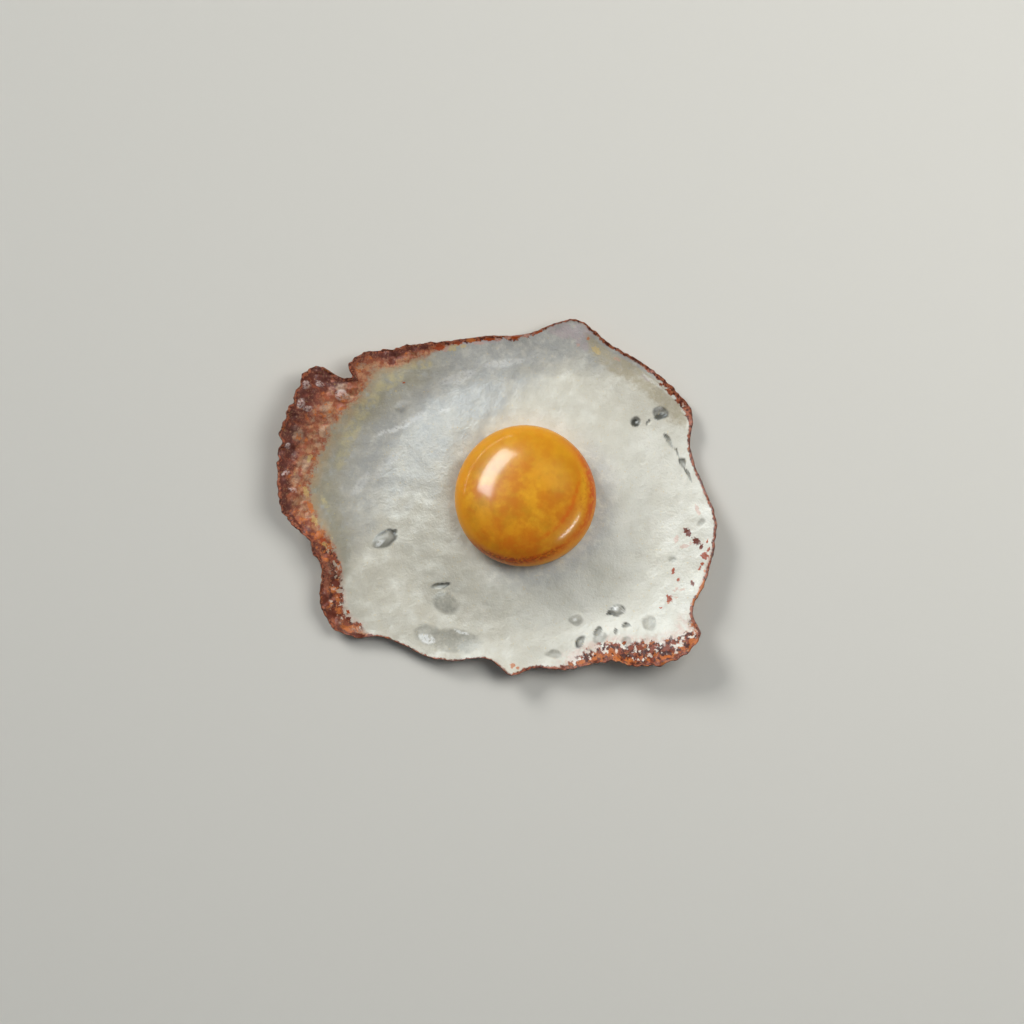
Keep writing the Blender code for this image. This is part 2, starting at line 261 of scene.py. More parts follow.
# Painted highlights: pale strokes, glints on blisters and pits, and the bright line inside the rim.
HIGHLIGHT_STROKES = marks_of(
    Kind.SHEEN,
    (-19.6, -39.6, 5.4, 2.8, -25.0), (-10.0, -37.6, 4.6, 0.9, -12.0), (22.0, -34.2, 1.2, 1.0, 0.0),
    (-32.7, -12.6, 3.4, 1.5, 30.0), (33.2, -31.0, 1.8, 0.8, 30.0), (34.9, -31.7, 1.2, 0.6, 20.0),
    (-29.2, 18.8, 12.0, 1.2, 20.0, 0.0, 0.5), (-14.8, 24.2, 4.4, 1.0, 25.0, 0.0, 0.45),
    (-23.6, 21.8, 9.0, 2.6, 30.0, 0.0, 0.3), (-11.0, 33.4, 12.0, 3.0, 15.0, 0.0, 0.3),
    (2.0, 37.4, 13.0, 2.4, 8.0, 0.0, 0.3), (-38.0, 4.0, 9.0, 2.4, 55.0, 0.0, 0.25),
    (-31.0, 9.0, 12.0, 3.4, 48.0, 0.0, 0.2), (38.9, 21.2, 0.9, 0.7, 0.0, 0.0, 0.55),
    (43.4, 32.6, 8.0, 0.9, -40.0, 0.0, 0.45), (48.8, 28.2, 6.0, 0.9, -46.0, 0.0, 0.5),
    (52.0, 24.4, 4.0, 0.8, -55.0, 0.0, 0.5), (45.4, 24.4, 2.2, 0.7, 12.0, 0.0, 0.6),
)
STRAW_STROKES = marks_of(
    Kind.STRAW,
    (-22.5, 37.0, 10.0, 3.0, 5.0, 0.0, 0.8), (-30.0, 32.4, 11.0, 4.4, 30.0, 0.0, 0.7),
    (-36.4, 25.4, 12.0, 4.8, 50.0, 0.0, 0.7), (-40.6, 18.4, 11.0, 4.6, 62.0, 0.0, 0.65),
    (-43.0, 11.6, 9.0, 3.6, 72.0, 0.0, 0.5), (-50.8, 11.6, 5.0, 1.8, 62.0),
    (-48.0, -1.6, 5.0, 1.2, -62.0), (-52.3, -7.0, 5.0, 1.4, -55.0),
)
BLUSHES = marks_of(
    Kind.BLUSH,
    (20.6, 46.4, 14.0, 5.0, -8.0, 0.0, 0.6), (24.0, 42.6, 5.0, 3.0, -30.0, 0.0, 0.5),
    (-5.0, 43.6, 18.0, 1.8, 2.0, 0.0, 0.5), (41.6, 33.4, 3.0, 1.2, -30.0, 0.0, 0.6),
)
# Their pale tops and rings are painted highlights.
CRUST_BUBBLES = marks_of(
    Kind.CRISP,
    (-53.2, 31.3, 2.6, 2.2, 40.0, 0.6), (-49.4, 31.6, 2.2, 1.7, -20.0, 0.5),
    (-54.4, 26.2, 2.7, 2.1, 60.0, 0.7), (-52.6, 24.8, 2.2, 1.8, 20.0, 0.6),
    (-43.2, 28.6, 3.6, 2.6, 30.0, 0.6), (-58.2, 14.2, 1.9, 1.4, 80.0, 0.6),
    (-58.8, 6.6, 2.2, 1.5, 60.0, 0.6), (-56.8, 2.0, 2.4, 1.4, -30.0, 0.6),
)
DRY_PATCHES = marks_of(
    Kind.DRY,
    (-55.8, 18.0, 3.6, 5.0, 10.0, 0.4), (-47.8, 18.4, 3.4, 4.4, -30.0, 0.3),
    (-47.6, 25.2, 4.2, 2.8, 30.0, 0.3), (-43.6, 30.8, 4.0, 3.0, 0.0, 0.3),
    (-53.0, 9.6, 2.4, 5.4, -20.0, 0.2),
)
SCORCHES = marks_of(
    Kind.SCORCH,
    (-49.0, 33.6, 6.0, 4.0, 40.0), (-52.4, 27.0, 7.0, 4.0, 70.0), (-58.0, 23.6, 4.0, 4.0, 80.0),
    (-51.0, 14.8, 5.0, 3.4, 60.0), (-59.3, 10.4, 5.0, 3.0, 80.0), (-58.6, 2.6, 4.4, 3.0, 85.0),
    (-55.4, -1.4, 5.0, 3.0, -50.0), (-51.8, -8.4, 4.4, 2.4, -50.0), (-29.6, 39.6, 6.0, 4.0, -10.0),
)
MARKS = PITS + DOMES + BLISTERS + THIN_PATCHES + HIGHLIGHT_STROKES
MARKS += STRAW_STROKES + BLUSHES + CRUST_BUBBLES + DRY_PATCHES + SCORCHES


@dataclass(frozen=True)
class Stain:
    """What a kind of mark paints into one of the white's layers.

    Attributes:
        kind: The kind of mark.
        layer: The layer.
        inner: How much it paints inside the mark.
        outer: How much it paints at the mark's edge.
        deep: Whether the inside is painted only as far as the mark's strength is above 1.
    """

    kind: Kind
    layer: str
    inner: float
    outer: float = 0.0
    deep: bool = False

    def share(self, strength: float, inside: Array, edge: Array) -> Array:
        """Tells how much of the layer a mark paints at places.

        Args:
            strength: The mark's strength.
            inside: How far inside it the places are, from zero to one.
            edge: How near its edge they are, from zero to one.

        Returns:
            The layer's share at the places.
        """
        if self.deep:
            return np.maximum(self.outer * edge, (strength - 1.0) * self.inner * inside)
        return min(strength, 1.0) * self.inner * inside + self.outer * edge


STAINS = (
    # Painted shade in the pits and domes, with the thin white's grey, and darker at their edges.
    Stain(Kind.PIT, "pit", 0.85),
    Stain(Kind.PIT, "pit_edge_shade", 1.0, 0.95, deep=True),
    Stain(Kind.DOME, "pit", 0.65),
    Stain(Kind.DOME, "pit_edge_shade", 1.0, 0.95, deep=True),
    Stain(Kind.THIN, "thin", 0.7),
    # Painted highlights.
    Stain(Kind.SHEEN, "painted_highlight", 0.85),
    Stain(Kind.STRAW, "straw", 1.0),
    Stain(Kind.BLUSH, "blush", 1.0),
    # Painted highlights on the crust's bubbles.
    Stain(Kind.CRISP, "crust_bubble_highlight", 0.35, 0.6),
    Stain(Kind.DRY, "dry_top", 0.6),
    Stain(Kind.SCORCH, "scorch", 0.12),
)


class Tone(Enum):
    """The tones of a fleck, by their places along the fleck's ramp of colours."""

    YELLOW = 0.05
    PINK = 0.25
    ORANGE = 0.45
    RUST = 0.65
    UMBER = 0.9


@dataclass(frozen=True)
class Fleck(Spot):
    """One browned fleck, of one tone."""

    tone: Tone = field(kw_only=True)


def flecks_of(tone: Tone, *rows: tuple[float, ...]) -> tuple[Fleck, ...]:
    """Makes flecks of one tone.

    Args:
        tone: Their tone.
        rows: Each fleck's numbers, in the order of its attributes from x on.

    Returns:
        The flecks.
    """
    return tuple(Fleck(*row, tone=tone) for row in rows)


YELLOW_FLECKS = flecks_of(
    Tone.YELLOW,
    (-13.2, 41.3, 2.6, 1.1, 0.0), (-11.6, 42.4, 1.7, 0.9, 30.0), (27.8, 41.0, 2.4, 1.6, -30.0),
    (-12.6, 41.5, 2.6, 1.3, -10.0), (-9.4, 42.2, 1.8, 0.9, 0.0), (-53.2, 1.4, 3.0, 1.3, -70.0),
    (-50.8, -6.4, 2.6, 1.3, -60.0), (-48.2, -12.8, 2.0, 1.1, -50.0), (-52.4, 10.8, 2.6, 1.0, 60.0),
)
PINK_FLECKS = flecks_of(
    Tone.PINK,
    (59.2, -17.2, 1.4, 0.5, 75.0), (54.0, -12.8, 1.2, 0.6, 20.0), (51.6, -25.8, 1.6, 0.6, 10.0),
    (56.0, -3.6, 2.8, 1.0, -70.0), (50.1, -11.7, 2.0, 1.2, 75.0), (52.4, -13.6, 2.4, 1.0, 10.0),
    (49.8, -28.0, 1.2, 0.5, 0.0), (50.0, -25.6, 1.8, 0.7, 35.0), (22.6, 42.6, 1.2, 0.8, 0.0),
    (33.4, 38.6, 1.8, 0.7, -30.0), (3.0, 44.6, 1.6, 0.7, 10.0), (-14.0, 41.4, 2.4, 1.3, 20.0),
    (-5.0, 43.0, 2.2, 0.9, 4.0), (0.4, 44.0, 2.0, 0.8, 2.0), (8.2, 45.0, 2.2, 0.8, 14.0),
)
ORANGE_FLECKS = flecks_of(
    Tone.ORANGE,
    (57.9, -20.6, 1.1, 0.6, 80.0), (47.9, -29.4, 1.1, 0.7, 30.0), (4.4, -47.0, 1.2, 1.2, 0.0),
    (5.9, -47.6, 0.8, 0.8, 0.0), (-7.4, 43.8, 2.6, 0.9, 0.0), (-52.0, -2.6, 3.0, 1.4, -65.0),
    (-49.6, -10.4, 2.6, 1.3, -65.0), (25.4, 44.3, 1.0, 0.9, 0.0),
)
RUST_FLECKS = flecks_of(
    Tone.RUST,
    (57.9, -16.4, 2.0, 1.7, -40.0), (57.2, -18.6, 0.9, 0.8, 0.0), (59.0, -14.6, 1.3, 0.6, 60.0),
    (58.6, -12.4, 1.2, 0.5, 70.0), (56.6, -19.8, 1.3, 0.6, 60.0), (49.2, -20.6, 1.6, 0.8, 80.0),
    (50.6, -23.1, 1.0, 0.9, 0.0), (48.1, -28.3, 2.1, 1.4, -70.0), (45.8, -30.8, 0.8, 0.6, 0.0),
    (-44.2, -27.4, 1.1, 0.8, -50.0), (-41.7, -31.9, 1.3, 0.7, -40.0), (-38.1, -35.4, 1.1, 0.7, -30.0),
    (-26.1, 32.0, 0.9, 0.7, 0.0), (-2.0, 44.0, 2.4, 0.8, 5.0), (-16.0, 41.8, 3.0, 1.6, 5.0),
    (-11.0, 42.9, 2.4, 1.0, 8.0), (5.2, 44.5, 1.8, 0.7, 6.0), (11.6, 46.0, 2.0, 0.7, 25.0),
    (-48.6, -12.0, 2.6, 1.4, -50.0),
)
UMBER_FLECKS = flecks_of(
    Tone.UMBER,
    (53.2, -9.7, 2.6, 1.5, -60.0), (55.6, -12.2, 2.4, 1.5, -55.0), (57.0, -13.7, 1.4, 0.9, 70.0),
    (54.5, -24.0, 1.5, 0.9, -60.0), (18.2, -47.2, 1.5, 0.9, -30.0), (-45.1, -23.9, 2.4, 1.8, -20.0),
    (-49.0, -25.4, 1.9, 1.6, 50.0), (-47.9, -28.8, 3.2, 1.9, -70.0), (-46.0, -32.6, 2.7, 2.3, 30.0),
    (-41.5, -33.8, 1.3, 0.9, -20.0), (-38.3, -38.6, 2.4, 1.3, -10.0), (-35.4, -38.7, 1.7, 1.0, -15.0),
    (-29.4, 37.7, 1.8, 1.6, 20.0),
)
FLECKS = YELLOW_FLECKS + PINK_FLECKS + ORANGE_FLECKS + RUST_FLECKS + UMBER_FLECKS

# How far the thin grey white reaches in from the rim, by its bearing from the yolk in degrees. Its
# grey is painted shade on the curled rim's inner slope as well as the thin white's own grey.
GREY_BEARINGS = (36.0, 62.0, 100.0, 131.0, 152.0, 172.0, 188.0, 212.0)
GREY_REACHES = (0.0, 12.0, 24.0, 35.0, 42.0, 40.0, 28.0, 0.0)

# The same for the tan band inside the right part of the top rim: painted shade on the rim's inner
# slope, in tan.
TAN_BEARINGS = (20.0, 28.0, 52.0, 66.0, 72.0)
TAN_REACHES = (0.0, 6.2, 6.8, 6.0, 0.0)


def srgb(red: int, green: int, blue: int) -> Colour:
    """Turns an 8-bit display colour into the linear one that shaders take.

    Args:
        red: Red, from 0 to 255.
        green: Green, from 0 to 255.
        blue: Blue, from 0 to 255.

    Returns:
        The linear colour.
    """
    shares = (channel / 255.0 for channel in (red, green, blue))
    linear = (s / 12.92 if s <= 0.04045 else ((s + 0.055) / 1.055) ** 2.4 for s in shares)
    return tuple(linear)


def smoothstep(value: Array) -> Array:
    """Gives zero below 0, one above 1, and a smooth slope between."""
    held = np.clip(value, 0.0, 1.0)
    return held * held * (3.0 - 2.0 * held)


def rise(value: Array, start: Array, full: Array) -> Array:
    """Slopes smoothly from zero at one value to one at another.

    Args:
        value: The values to turn into shares.
        start: Where the share is zero. It may be above full.
        full: Where the share is one.

    Returns:
        The shares.
    """
    return smoothstep((value - start) / (full - start))


@dataclass(frozen=True)
class Stretch:
    """A stretch of bearings, in degrees, along which a look comes in and goes out smoothly.

    Attributes:
        start: Where it comes in.
        full: Where it is full.
        full_end: Where it is full to.
        end: Where it has gone out.
    """

    start: float
    full: float
    full_end: float
    end: float

    def share(self, bearing: Array) -> Array:
        """Tells how full the look is at bearings."""
        return rise(bearing, self.start, self.full) * rise(bearing, self.end, self.full_end)


@dataclass(frozen=True)
class Corner:
    """A corner of the white, towards its low left or low right.

    Attributes:
        x_start: The x at which it begins, in millimetres.
        x_full: The x at which it is full.
        y_start: The y at which it begins.
        y_full: The y at which it is full.
    """

    x_start: float
    x_full: float
    y_start: float
    y_full: float

    def share(self, x: Array, y: Array) -> Array:
        """Tells how far inside the corner places are, from zero to one."""
        return rise(x, self.x_start, self.x_full) * rise(y, self.y_start, self.y_full)


# Where the rim's thin line is bold, where the rim glows orange, and where the yolk's painted shade is
# deepest.
BOLD_RIGHT = Stretch(21.0, 28.0, 38.0, 50.0)
BOLD_ABOVE = Stretch(82.0, 90.0, 114.0, 124.0)
EMBER_LEFT = Stretch(181.0, 187.0, 226.0, 232.0)
YOLK_DEEPEST_SHADE = Stretch(-150.0, -120.0, -70.0, -45.0)

# Where the crust is lace, where it glows orange in it and beside it, and where it is combed.
LACE_CORNER = Corner(14.0, 22.0, -30.0, -36.0)
EMBER_CORNER = Corner(14.0, 22.0, -26.0, -32.0)
FLANK_CORNER = Corner(52.0, 54.0, -21.0, -23.0)
COMBED_CORNER = Corner(-35.0, -38.0, -10.0, -15.0)
FLANK_FOOT = (-33.0, -30.0)

# Between which x and which y the white turns darker, to the left and to the top: painted shade.
LEFT_SHADE_X = (26.0, -18.0)
TOP_SHADE_Y = (12.0, 26.0)

# The painted shadow of the yolk on the white: on which side of the yolk and how near to it; and the
# middle, the flatness and the reach of a bluish grey patch above the yolk.
LEE_BEARING = -38.0
LEE_REACH = (28.5, 21.0)
PATCH_CENTRE = (-4.8, 27.2)
PATCH_FLATNESS = 1.4
PATCH_REACH = (8.6, 6.4)


class Wave(Enum):
    """The uneven fields that the forms are roughened with, by their places in the noise."""

    CRAG = 1.0
    CRAG_TOOTH = 2.0
    RUFFLE = 3.0
    SWELL = 4.0
    CRUST = 5.0
    YOLK_DIMPLE = 6.0
    SKIN = 7.0
    CRUMB = 8.0
    FINE_CRUMB = 9.0
    STRAY_ALONG_X = 11.0
    STRAY_ALONG_Y = 12.0
    LARGE_BUBBLE = 1.5
    SMALL_BUBBLE = 2.5


def ripple(x: Array, y: Array, length: float, wave: Wave) -> Array:
    """Reads a smooth uneven field of about plus or minus one half.

    Args:
        x: The places' x, in millimetres.
        y: The places' y, in millimetres.
        length: How far apart its waves are, in millimetres.
        wave: Which field is read.

    Returns:
        The field at each place.
    """
    places = zip(x.flat, y.flat)
    flat = [noise.noise(Vector((a / length, b / length, wave.value))) for a, b in places]
    return np.array(flat).reshape(x.shape)


def bubbles(x: Array, y: Array, size: float, wave: Wave) -> Array:
    """Reads a field of packed round bubbles: one on top of each, zero in the creases between.

    Args:
        x: The places' x, in millimetres.
        y: The places' y, in millimetres.
        size: The bubbles' usual diameter, in millimetres.
        wave: Which field is read.

    Returns:
        The field at each place.
    """
    places = zip(x.flat, y.flat)
    near = [noise.voronoi(Vector((a / size, b / size, wave.value)))[0][0] for a, b in places]
    return np.clip(1.0 - (np.array(near).reshape(x.shape) / BUBBLE_REACH) ** 2, 0.0, 1.0)


@dataclass
class Rim:
    """The egg's craggy rim, and what a place inside it takes from the stretch nearest to it.

    Attributes:
        samples: How many steps the rim's path has.
        crag_length: How long the crags are, in millimetres.
        crag_reach: How far a crag stands out where there is no crust.
        crag_reach_per_crust: How much further it does for each millimetre of crust.
        crag_reach_most: The furthest that a crag stands out.
        crag_weight: How much of the crags' reach comes from the crags themselves.
        tooth_share: How long the crags' teeth are, as a share of the crags.
        tooth_weight: How much of the crags' reach comes from their teeth.
        crag_level: Which height of the crags lies on the smooth rim.
        ruffle_share: How much the small ruffles change the rim's lift.
        ruffle_length: How long the ruffles are.
        nearest: The least distance that counts.
        crumb_length: How long the finest crumbs of the edge are.
        crumb_reach: How far a crumb stands out where there is no crust.
        crumb_reach_per_crust: How much further it does for each millimetre of crust.
        crumb_reach_most: The furthest that a crumb stands out.
        fine_crumb_reach: How far the crumbs half as long stand out.
        crowding_per_crust: How much closer the columns are for each millimetre of crust.
        stretch_steps: How many steps each stretch between two stations is first cut into.
        path: The rim's path, step by step: its x, y, lift and crust.
        step: How long one step is.
    """

    samples: int = 1440
    crag_length: float = 3.4
    crag_reach: float = 0.1
    crag_reach_per_crust: float = 0.1
    crag_reach_most: float = 0.9
    crag_weight: float = 1.4
    tooth_share: float = 1.0 / 2.3
    tooth_weight: float = 0.7
    crag_level: float = 0.5
    ruffle_share: float = 0.4
    ruffle_length: float = 9.0
    nearest: float = 0.15
    crumb_length: float = 1.5
    crumb_reach: float = 0.16
    crumb_reach_per_crust: float = 0.05
    crumb_reach_most: float = 0.4
    fine_crumb_reach: float = 0.12
    crowding_per_crust: float = 0.1
    stretch_steps: int = 24
    path: Array = field(init=False)
    step: float = field(init=False)

    def __post_init__(self) -> None:
        """Lays the path out."""
        self.path = self._with_crags(self._through_stations())
        self.step = float(np.hypot(*(self.path[1, :2] - self.path[0, :2])))
        ruffles = ripple(self.path[:, 0], self.path[:, 1], self.ruffle_length, Wave.RUFFLE)
        self.path[:, 2] *= 1.0 + self.ruffle_share * ruffles

    def _through_stations(self) -> Array:
        """Runs a closed smooth curve through the stations.

        Returns:
            The curve at equal steps of its plan, with its lift and its crust.
        """
        knots = np.array(RIM_STATIONS)
        ahead = np.roll(knots, -1, axis=0) - knots
        span = np.hypot(ahead[:, 0], ahead[:, 1])[:, None]
        slope = ahead / span
        span_before = np.roll(span, 1, axis=0)
        tangent = (np.roll(slope, 1, axis=0) * span + slope * span_before) / (span + span_before)
        dense = []
        for u in np.linspace(0.0, 1.0, self.stretch_steps, endpoint=False):
            start = (1 + 2 * u) * (1 - u) ** 2 * knots + u * (1 - u) ** 2 * span * tangent
            end = u * u * (3 - 2 * u) * np.roll(knots, -1, axis=0)
            dense.append(start + end - u * u * (1 - u) * span * np.roll(tangent, -1, axis=0))
        path = np.stack(dense, axis=1).reshape(-1, knots.shape[1])
        closed = np.vstack([path, path[:1]])
        step = np.hypot(np.diff(closed[:, 0]), np.diff(closed[:, 1]))
        along = np.concatenate([[0.0], np.cumsum(step)])
        wanted = np.linspace(0.0, along[-1], self.samples, endpoint=False)
        return np.stack([np.interp(wanted, along, column) for column in closed.T], axis=1)

    def _with_crags(self, path: Array) -> Array:
        """Adds the crags of the browned edge, and centres the rim's box on the origin.

        Args:
            path: The smooth rim.

        Returns:
            The craggy rim.
        """
        x, y, _, crust = path.T
        reach = self.crag_reach_per_crust * crust + self.crag_reach
        reach = np.minimum(self.crag_reach_most, reach)
        tooth_length = self.crag_length * self.tooth_share
        crags = self.crag_weight * ripple(x, y, self.crag_length, Wave.CRAG)
        crags += self.tooth_weight * ripple(x, y, tooth_length, Wave.CRAG_TOOTH)
        away = path[:, :2] - YOLK_CENTRE
        away /= np.linalg.norm(away, axis=1)[:, None]
        path[:, :2] += away * (reach * (crags - self.crag_level))[:, None]
        path[:, :2] -= (path[:, :2].min(axis=0) + path[:, :2].max(axis=0)) / 2
        return path

    def round_about(self, places: Array) -> tuple[Array, Array, Array]:
        """Tells what places take from the rim round them.

        Every sample of the rim counts by the inverse fourth power of its distance, so that the
        three fields have no creases. Along a straight rim the distance is the true one.

        Args:
            places: The places' x and y, in millimetres.

        Returns:
            The distance in from the rim, and the rim's lift and crust, for each place.
        """
        away = places[:, None, :] - self.path[None, :, :2]
        pull = self.step / np.maximum(np.sum(away**2, axis=2), self.nearest**2) ** 2
        total = pull.sum(axis=1)
        distance = (total / (math.pi / 2)) ** (-1 / 3)
        return distance, pull @ self.path[:, 2] / total, pull @ self.path[:, 3] / total

    def column_ends(self, columns: int) -> Array:
        """Picks where the white's columns end, closer together where the crust is wide.

        Args:
            columns: How many columns there are.

        Returns:
            The ends' x and y.
        """
        weight = np.cumsum(1.0 + self.crowding_per_crust * self.path[:, 3])
        wanted = np.arange(columns) / columns * weight[-1]
        sample = np.interp(wanted, weight, np.arange(len(weight)))
        turn = np.arange(len(weight) + 1)
        closed = np.vstack([self.path, self.path[:1]])
        x, y, crust = (np.interp(sample, turn, closed[:, column]) for column in (0, 1, 3))
        reach = self.crumb_reach + self.crumb_reach_per_crust * crust
        reach = np.minimum(self.crumb_reach_most, reach)
        crumb = reach * ripple(x, y, self.crumb_length, Wave.CRUMB)
        crumb += self.fine_crumb_reach * ripple(x, y, self.crumb_length / 2, Wave.FINE_CRUMB)
        away = np.stack([x, y], axis=1) - YOLK_CENTRE
        return YOLK_CENTRE + away * (1.0 + crumb / np.linalg.norm(away, axis=1))[:, None]


class Bench:
    """A workbench for one material: it lays the nodes out and wires them to the shader."""

    def __init__(self, name: str) -> None:
        """Starts a material whose patterns are measured in millimetres.

        Args:
            name: The material's name.
        """
        self.material = bpy.data.materials.new(name)
        self.material.use_nodes = True
        self.tree = self.material.node_tree
        self.shader = self.tree.nodes["Principled BSDF"]
        coordinates = self.tree.nodes.new("ShaderNodeTexCoord")
        mapping = self.tree.nodes.new("ShaderNodeMapping")
        mapping.inputs["Scale"].default_value = (1.0 / MM,) * 3
        self.tree.links.new(coordinates.outputs["Object"], mapping.inputs["Vector"])
        self.place = mapping.outputs["Vector"]

    def wire(self, socket: Socket, value: object) -> None:
        """Feeds a socket.

        Args:
            socket: The socket to feed.
            value: Another node's output, a number, or a colour.
        """
        if isinstance(value, Socket):
            self.tree.links.new(value, socket)
        elif isinstance(value, tuple) and socket.type == "RGBA":
            socket.default_value = (*value, 1.0)
        else:
            socket.default_value = value

    def set(self, name: str, value: object) -> None:
        """Feeds one of the shader's own inputs, found by its name."""
        self.wire(self.shader.inputs[name], value)

    def read(self, name: str) -> Socket:
        """Reads one of the piece's own attributes."""
        node = self.tree.nodes.new("ShaderNodeAttribute")
        node.attribute_name = name
        return node.outputs["Fac"]

    def mottle(self, size: float, detail: float = 3.0, seed: float = 0.0) -> Socket:
        """Makes a cloudy pattern.

        Args:
            size: How large its clouds are, in millimetres.
            detail: How many finer layers it has.
            seed: Which pattern of the kind it is.

        Returns:
            A number about one half.
        """
        node = self.tree.nodes.new("ShaderNodeTexNoise")
        node.noise_dimensions = "4D"
        self.wire(node.inputs["Vector"], self.place)
        self.wire(node.inputs["W"], seed)
        self.wire(node.inputs["Scale"], 1.0 / size)
        self.wire(node.inputs["Detail"], detail)
        self.wire(node.inputs["Roughness"], CLOUD_ROUGHNESS)
        return node.outputs["Fac"]

    def creases(self, size: float) -> Socket:
        """Makes a pattern of creases between packed cells.

        Args:
            size: How large a cell is, in millimetres.

        Returns:
            The distance from the nearest crease, as a share of a cell's size.
        """
        node = self.tree.nodes.new("ShaderNodeTexVoronoi")
        node.feature = "DISTANCE_TO_EDGE"
        self.wire(node.inputs["Vector"], self.place)
        self.wire(node.inputs["Scale"], 1.0 / size)
        return node.outputs["Distance"]

    def sum(self, operation: str, first: object, second: object) -> Socket:
        """Does a sum.

        Args:
            operation: The Math node's operation.
            first: Its first value.
            second: Its second value.

        Returns:
            The result.
        """
        node = self.tree.nodes.new("ShaderNodeMath")
        node.operation = operation
        self.wire(node.inputs[0], first)
        self.wire(node.inputs[1], second)
        return node.outputs["Value"]

    def plus(self, first: object, second: object) -> Socket:
        """Adds two values."""
        return self.sum("ADD", first, second)

    def less(self, first: object, second: object) -> Socket:
        """Takes the second value from the first."""
        return self.sum("SUBTRACT", first, second)

    def times(self, first: object, second: object) -> Socket:
        """Multiplies two values."""
        return self.sum("MULTIPLY", first, second)

    def stray(self, size: float, detail: float, seed: float, reach: float) -> Socket:
        """Makes a cloudy pattern about zero.

        Args:
            size: How large its clouds are, in millimetres.
            detail: How many finer layers it has.
            seed: Which pattern of the kind it is.
            reach: How much it strays.

        Returns:
            The number.
        """
        return self.times(self.less(self.mottle(size, detail, seed), 0.5), reach)

    def dapple(self, size: float, detail: float, seed: float, low: float, high: float) -> Socket:
        """Makes soft-edged patches from a cloudy pattern.

        Args:
            size: How large its clouds are, in millimetres.
            detail: How many finer layers it has.
            seed: Which pattern of the kind it is.
            low: The cloud's value where the patches begin.
            high: The cloud's value where they are full.

        Returns:
            The patches' share.
        """
        return self.slope(self.mottle(size, detail, seed), low, high)

    def patchy(
        self, name: str, size: float, detail: float, seed: float, low: float, high: float
    ) -> Socket:
        """Reads one of the piece's own attributes, broken up into soft-edged patches.

        Args:
            name: The attribute's name.
            size: How large the patches' clouds are, in millimetres.
            detail: How many finer layers they have.
            seed: Which pattern of the kind it is.
            low: The cloud's value where the patches begin.
            high: The cloud's value where they are full.

        Returns:
            The attribute where the patches are, and zero between them.
        """
        return self.times(self.read(name), self.dapple(size, detail, seed, low, high))

    def between(self, least: float, most: float, share: object) -> Socket:
        """Turns a share from zero to one into a value from the least to the most."""
        return self.plus(least, self.times(share, most - least))

    def slope(self, value: object, low: float, high: float) -> Socket:
        """Turns a value into a share from zero to one, with a smooth slope.

        Args:
            value: The value.
            low: Where the share is zero. It may be above high.
            high: Where the share is one.

        Returns:
            The share.
        """
        node = self.tree.nodes.new("ShaderNodeMapRange")
        node.interpolation_type = "SMOOTHSTEP"
        falling = low > high
        self.wire(node.inputs["Value"], value)
        self.wire(node.inputs["From Min"], min(low, high))
        self.wire(node.inputs["From Max"], max(low, high))
        self.wire(node.inputs["To Min"], 1.0 if falling else 0.0)
        self.wire(node.inputs["To Max"], 0.0 if falling else 1.0)
        return node.outputs["Result"]

    def blend(self, share: object, under: object, over: object) -> Socket:
        """Lays one colour over another.

        Args:
            share: How much of the upper colour shows.
            under: The lower colour.
            over: The upper colour.

        Returns:
            The colour that results.
        """
        node = self.tree.nodes.new("ShaderNodeMix")
        node.data_type = "RGBA"
        factor, lower, upper = node.inputs[0], node.inputs[6], node.inputs[7]
        self.wire(factor, share)
        self.wire(lower, under)
        self.wire(upper, over)
        return node.outputs[2]

    def layers(self, ground: object, *coats: tuple[object, object]) -> Socket:
        """Lays colours over one another.

        Args:
            ground: The lowest colour.
            coats: The share and the colour of each layer, from the lowest up.

        Returns:
            The colour that results.
        """
        colour = ground
        for share, tone in coats:
            colour = self.blend(share, colour, tone)
        return colour

    def ramp(self, value: object, stops: tuple[tuple[float, Colour], ...]) -> Socket:
        """Turns a value into a colour.

        Args:
            value: The value.
            stops: The values of the ramp's stops and their colours, in order.

        Returns:
            The colour.
        """
        node = self.tree.nodes.new("ShaderNodeValToRGB")
        self.wire(node.inputs["Fac"], value)
        elements = node.color_ramp.elements
        while len(elements) < len(stops):
            elements.new(1.0)
        for element, (place, colour) in zip(elements, stops):
            element.position = place
            element.color = (*colour, 1.0)
        return node.outputs["Color"]

    def relief(self, height: object, depth: float, under: object = None) -> Socket:
        """Makes fine relief from a pattern.

        Args:
            height: The pattern.
            depth: How deep the relief is, in millimetres.
            under: The relief that this one lies on, or None.

        Returns:
            The normal for the shader.
        """
        node = self.tree.nodes.new("ShaderNodeBump")
        self.wire(node.inputs["Height"], height)
        self.wire(node.inputs["Distance"], depth * MM)
        if under is not None:
            self.wire(node.inputs["Normal"], under)
        return node.outputs["Normal"]


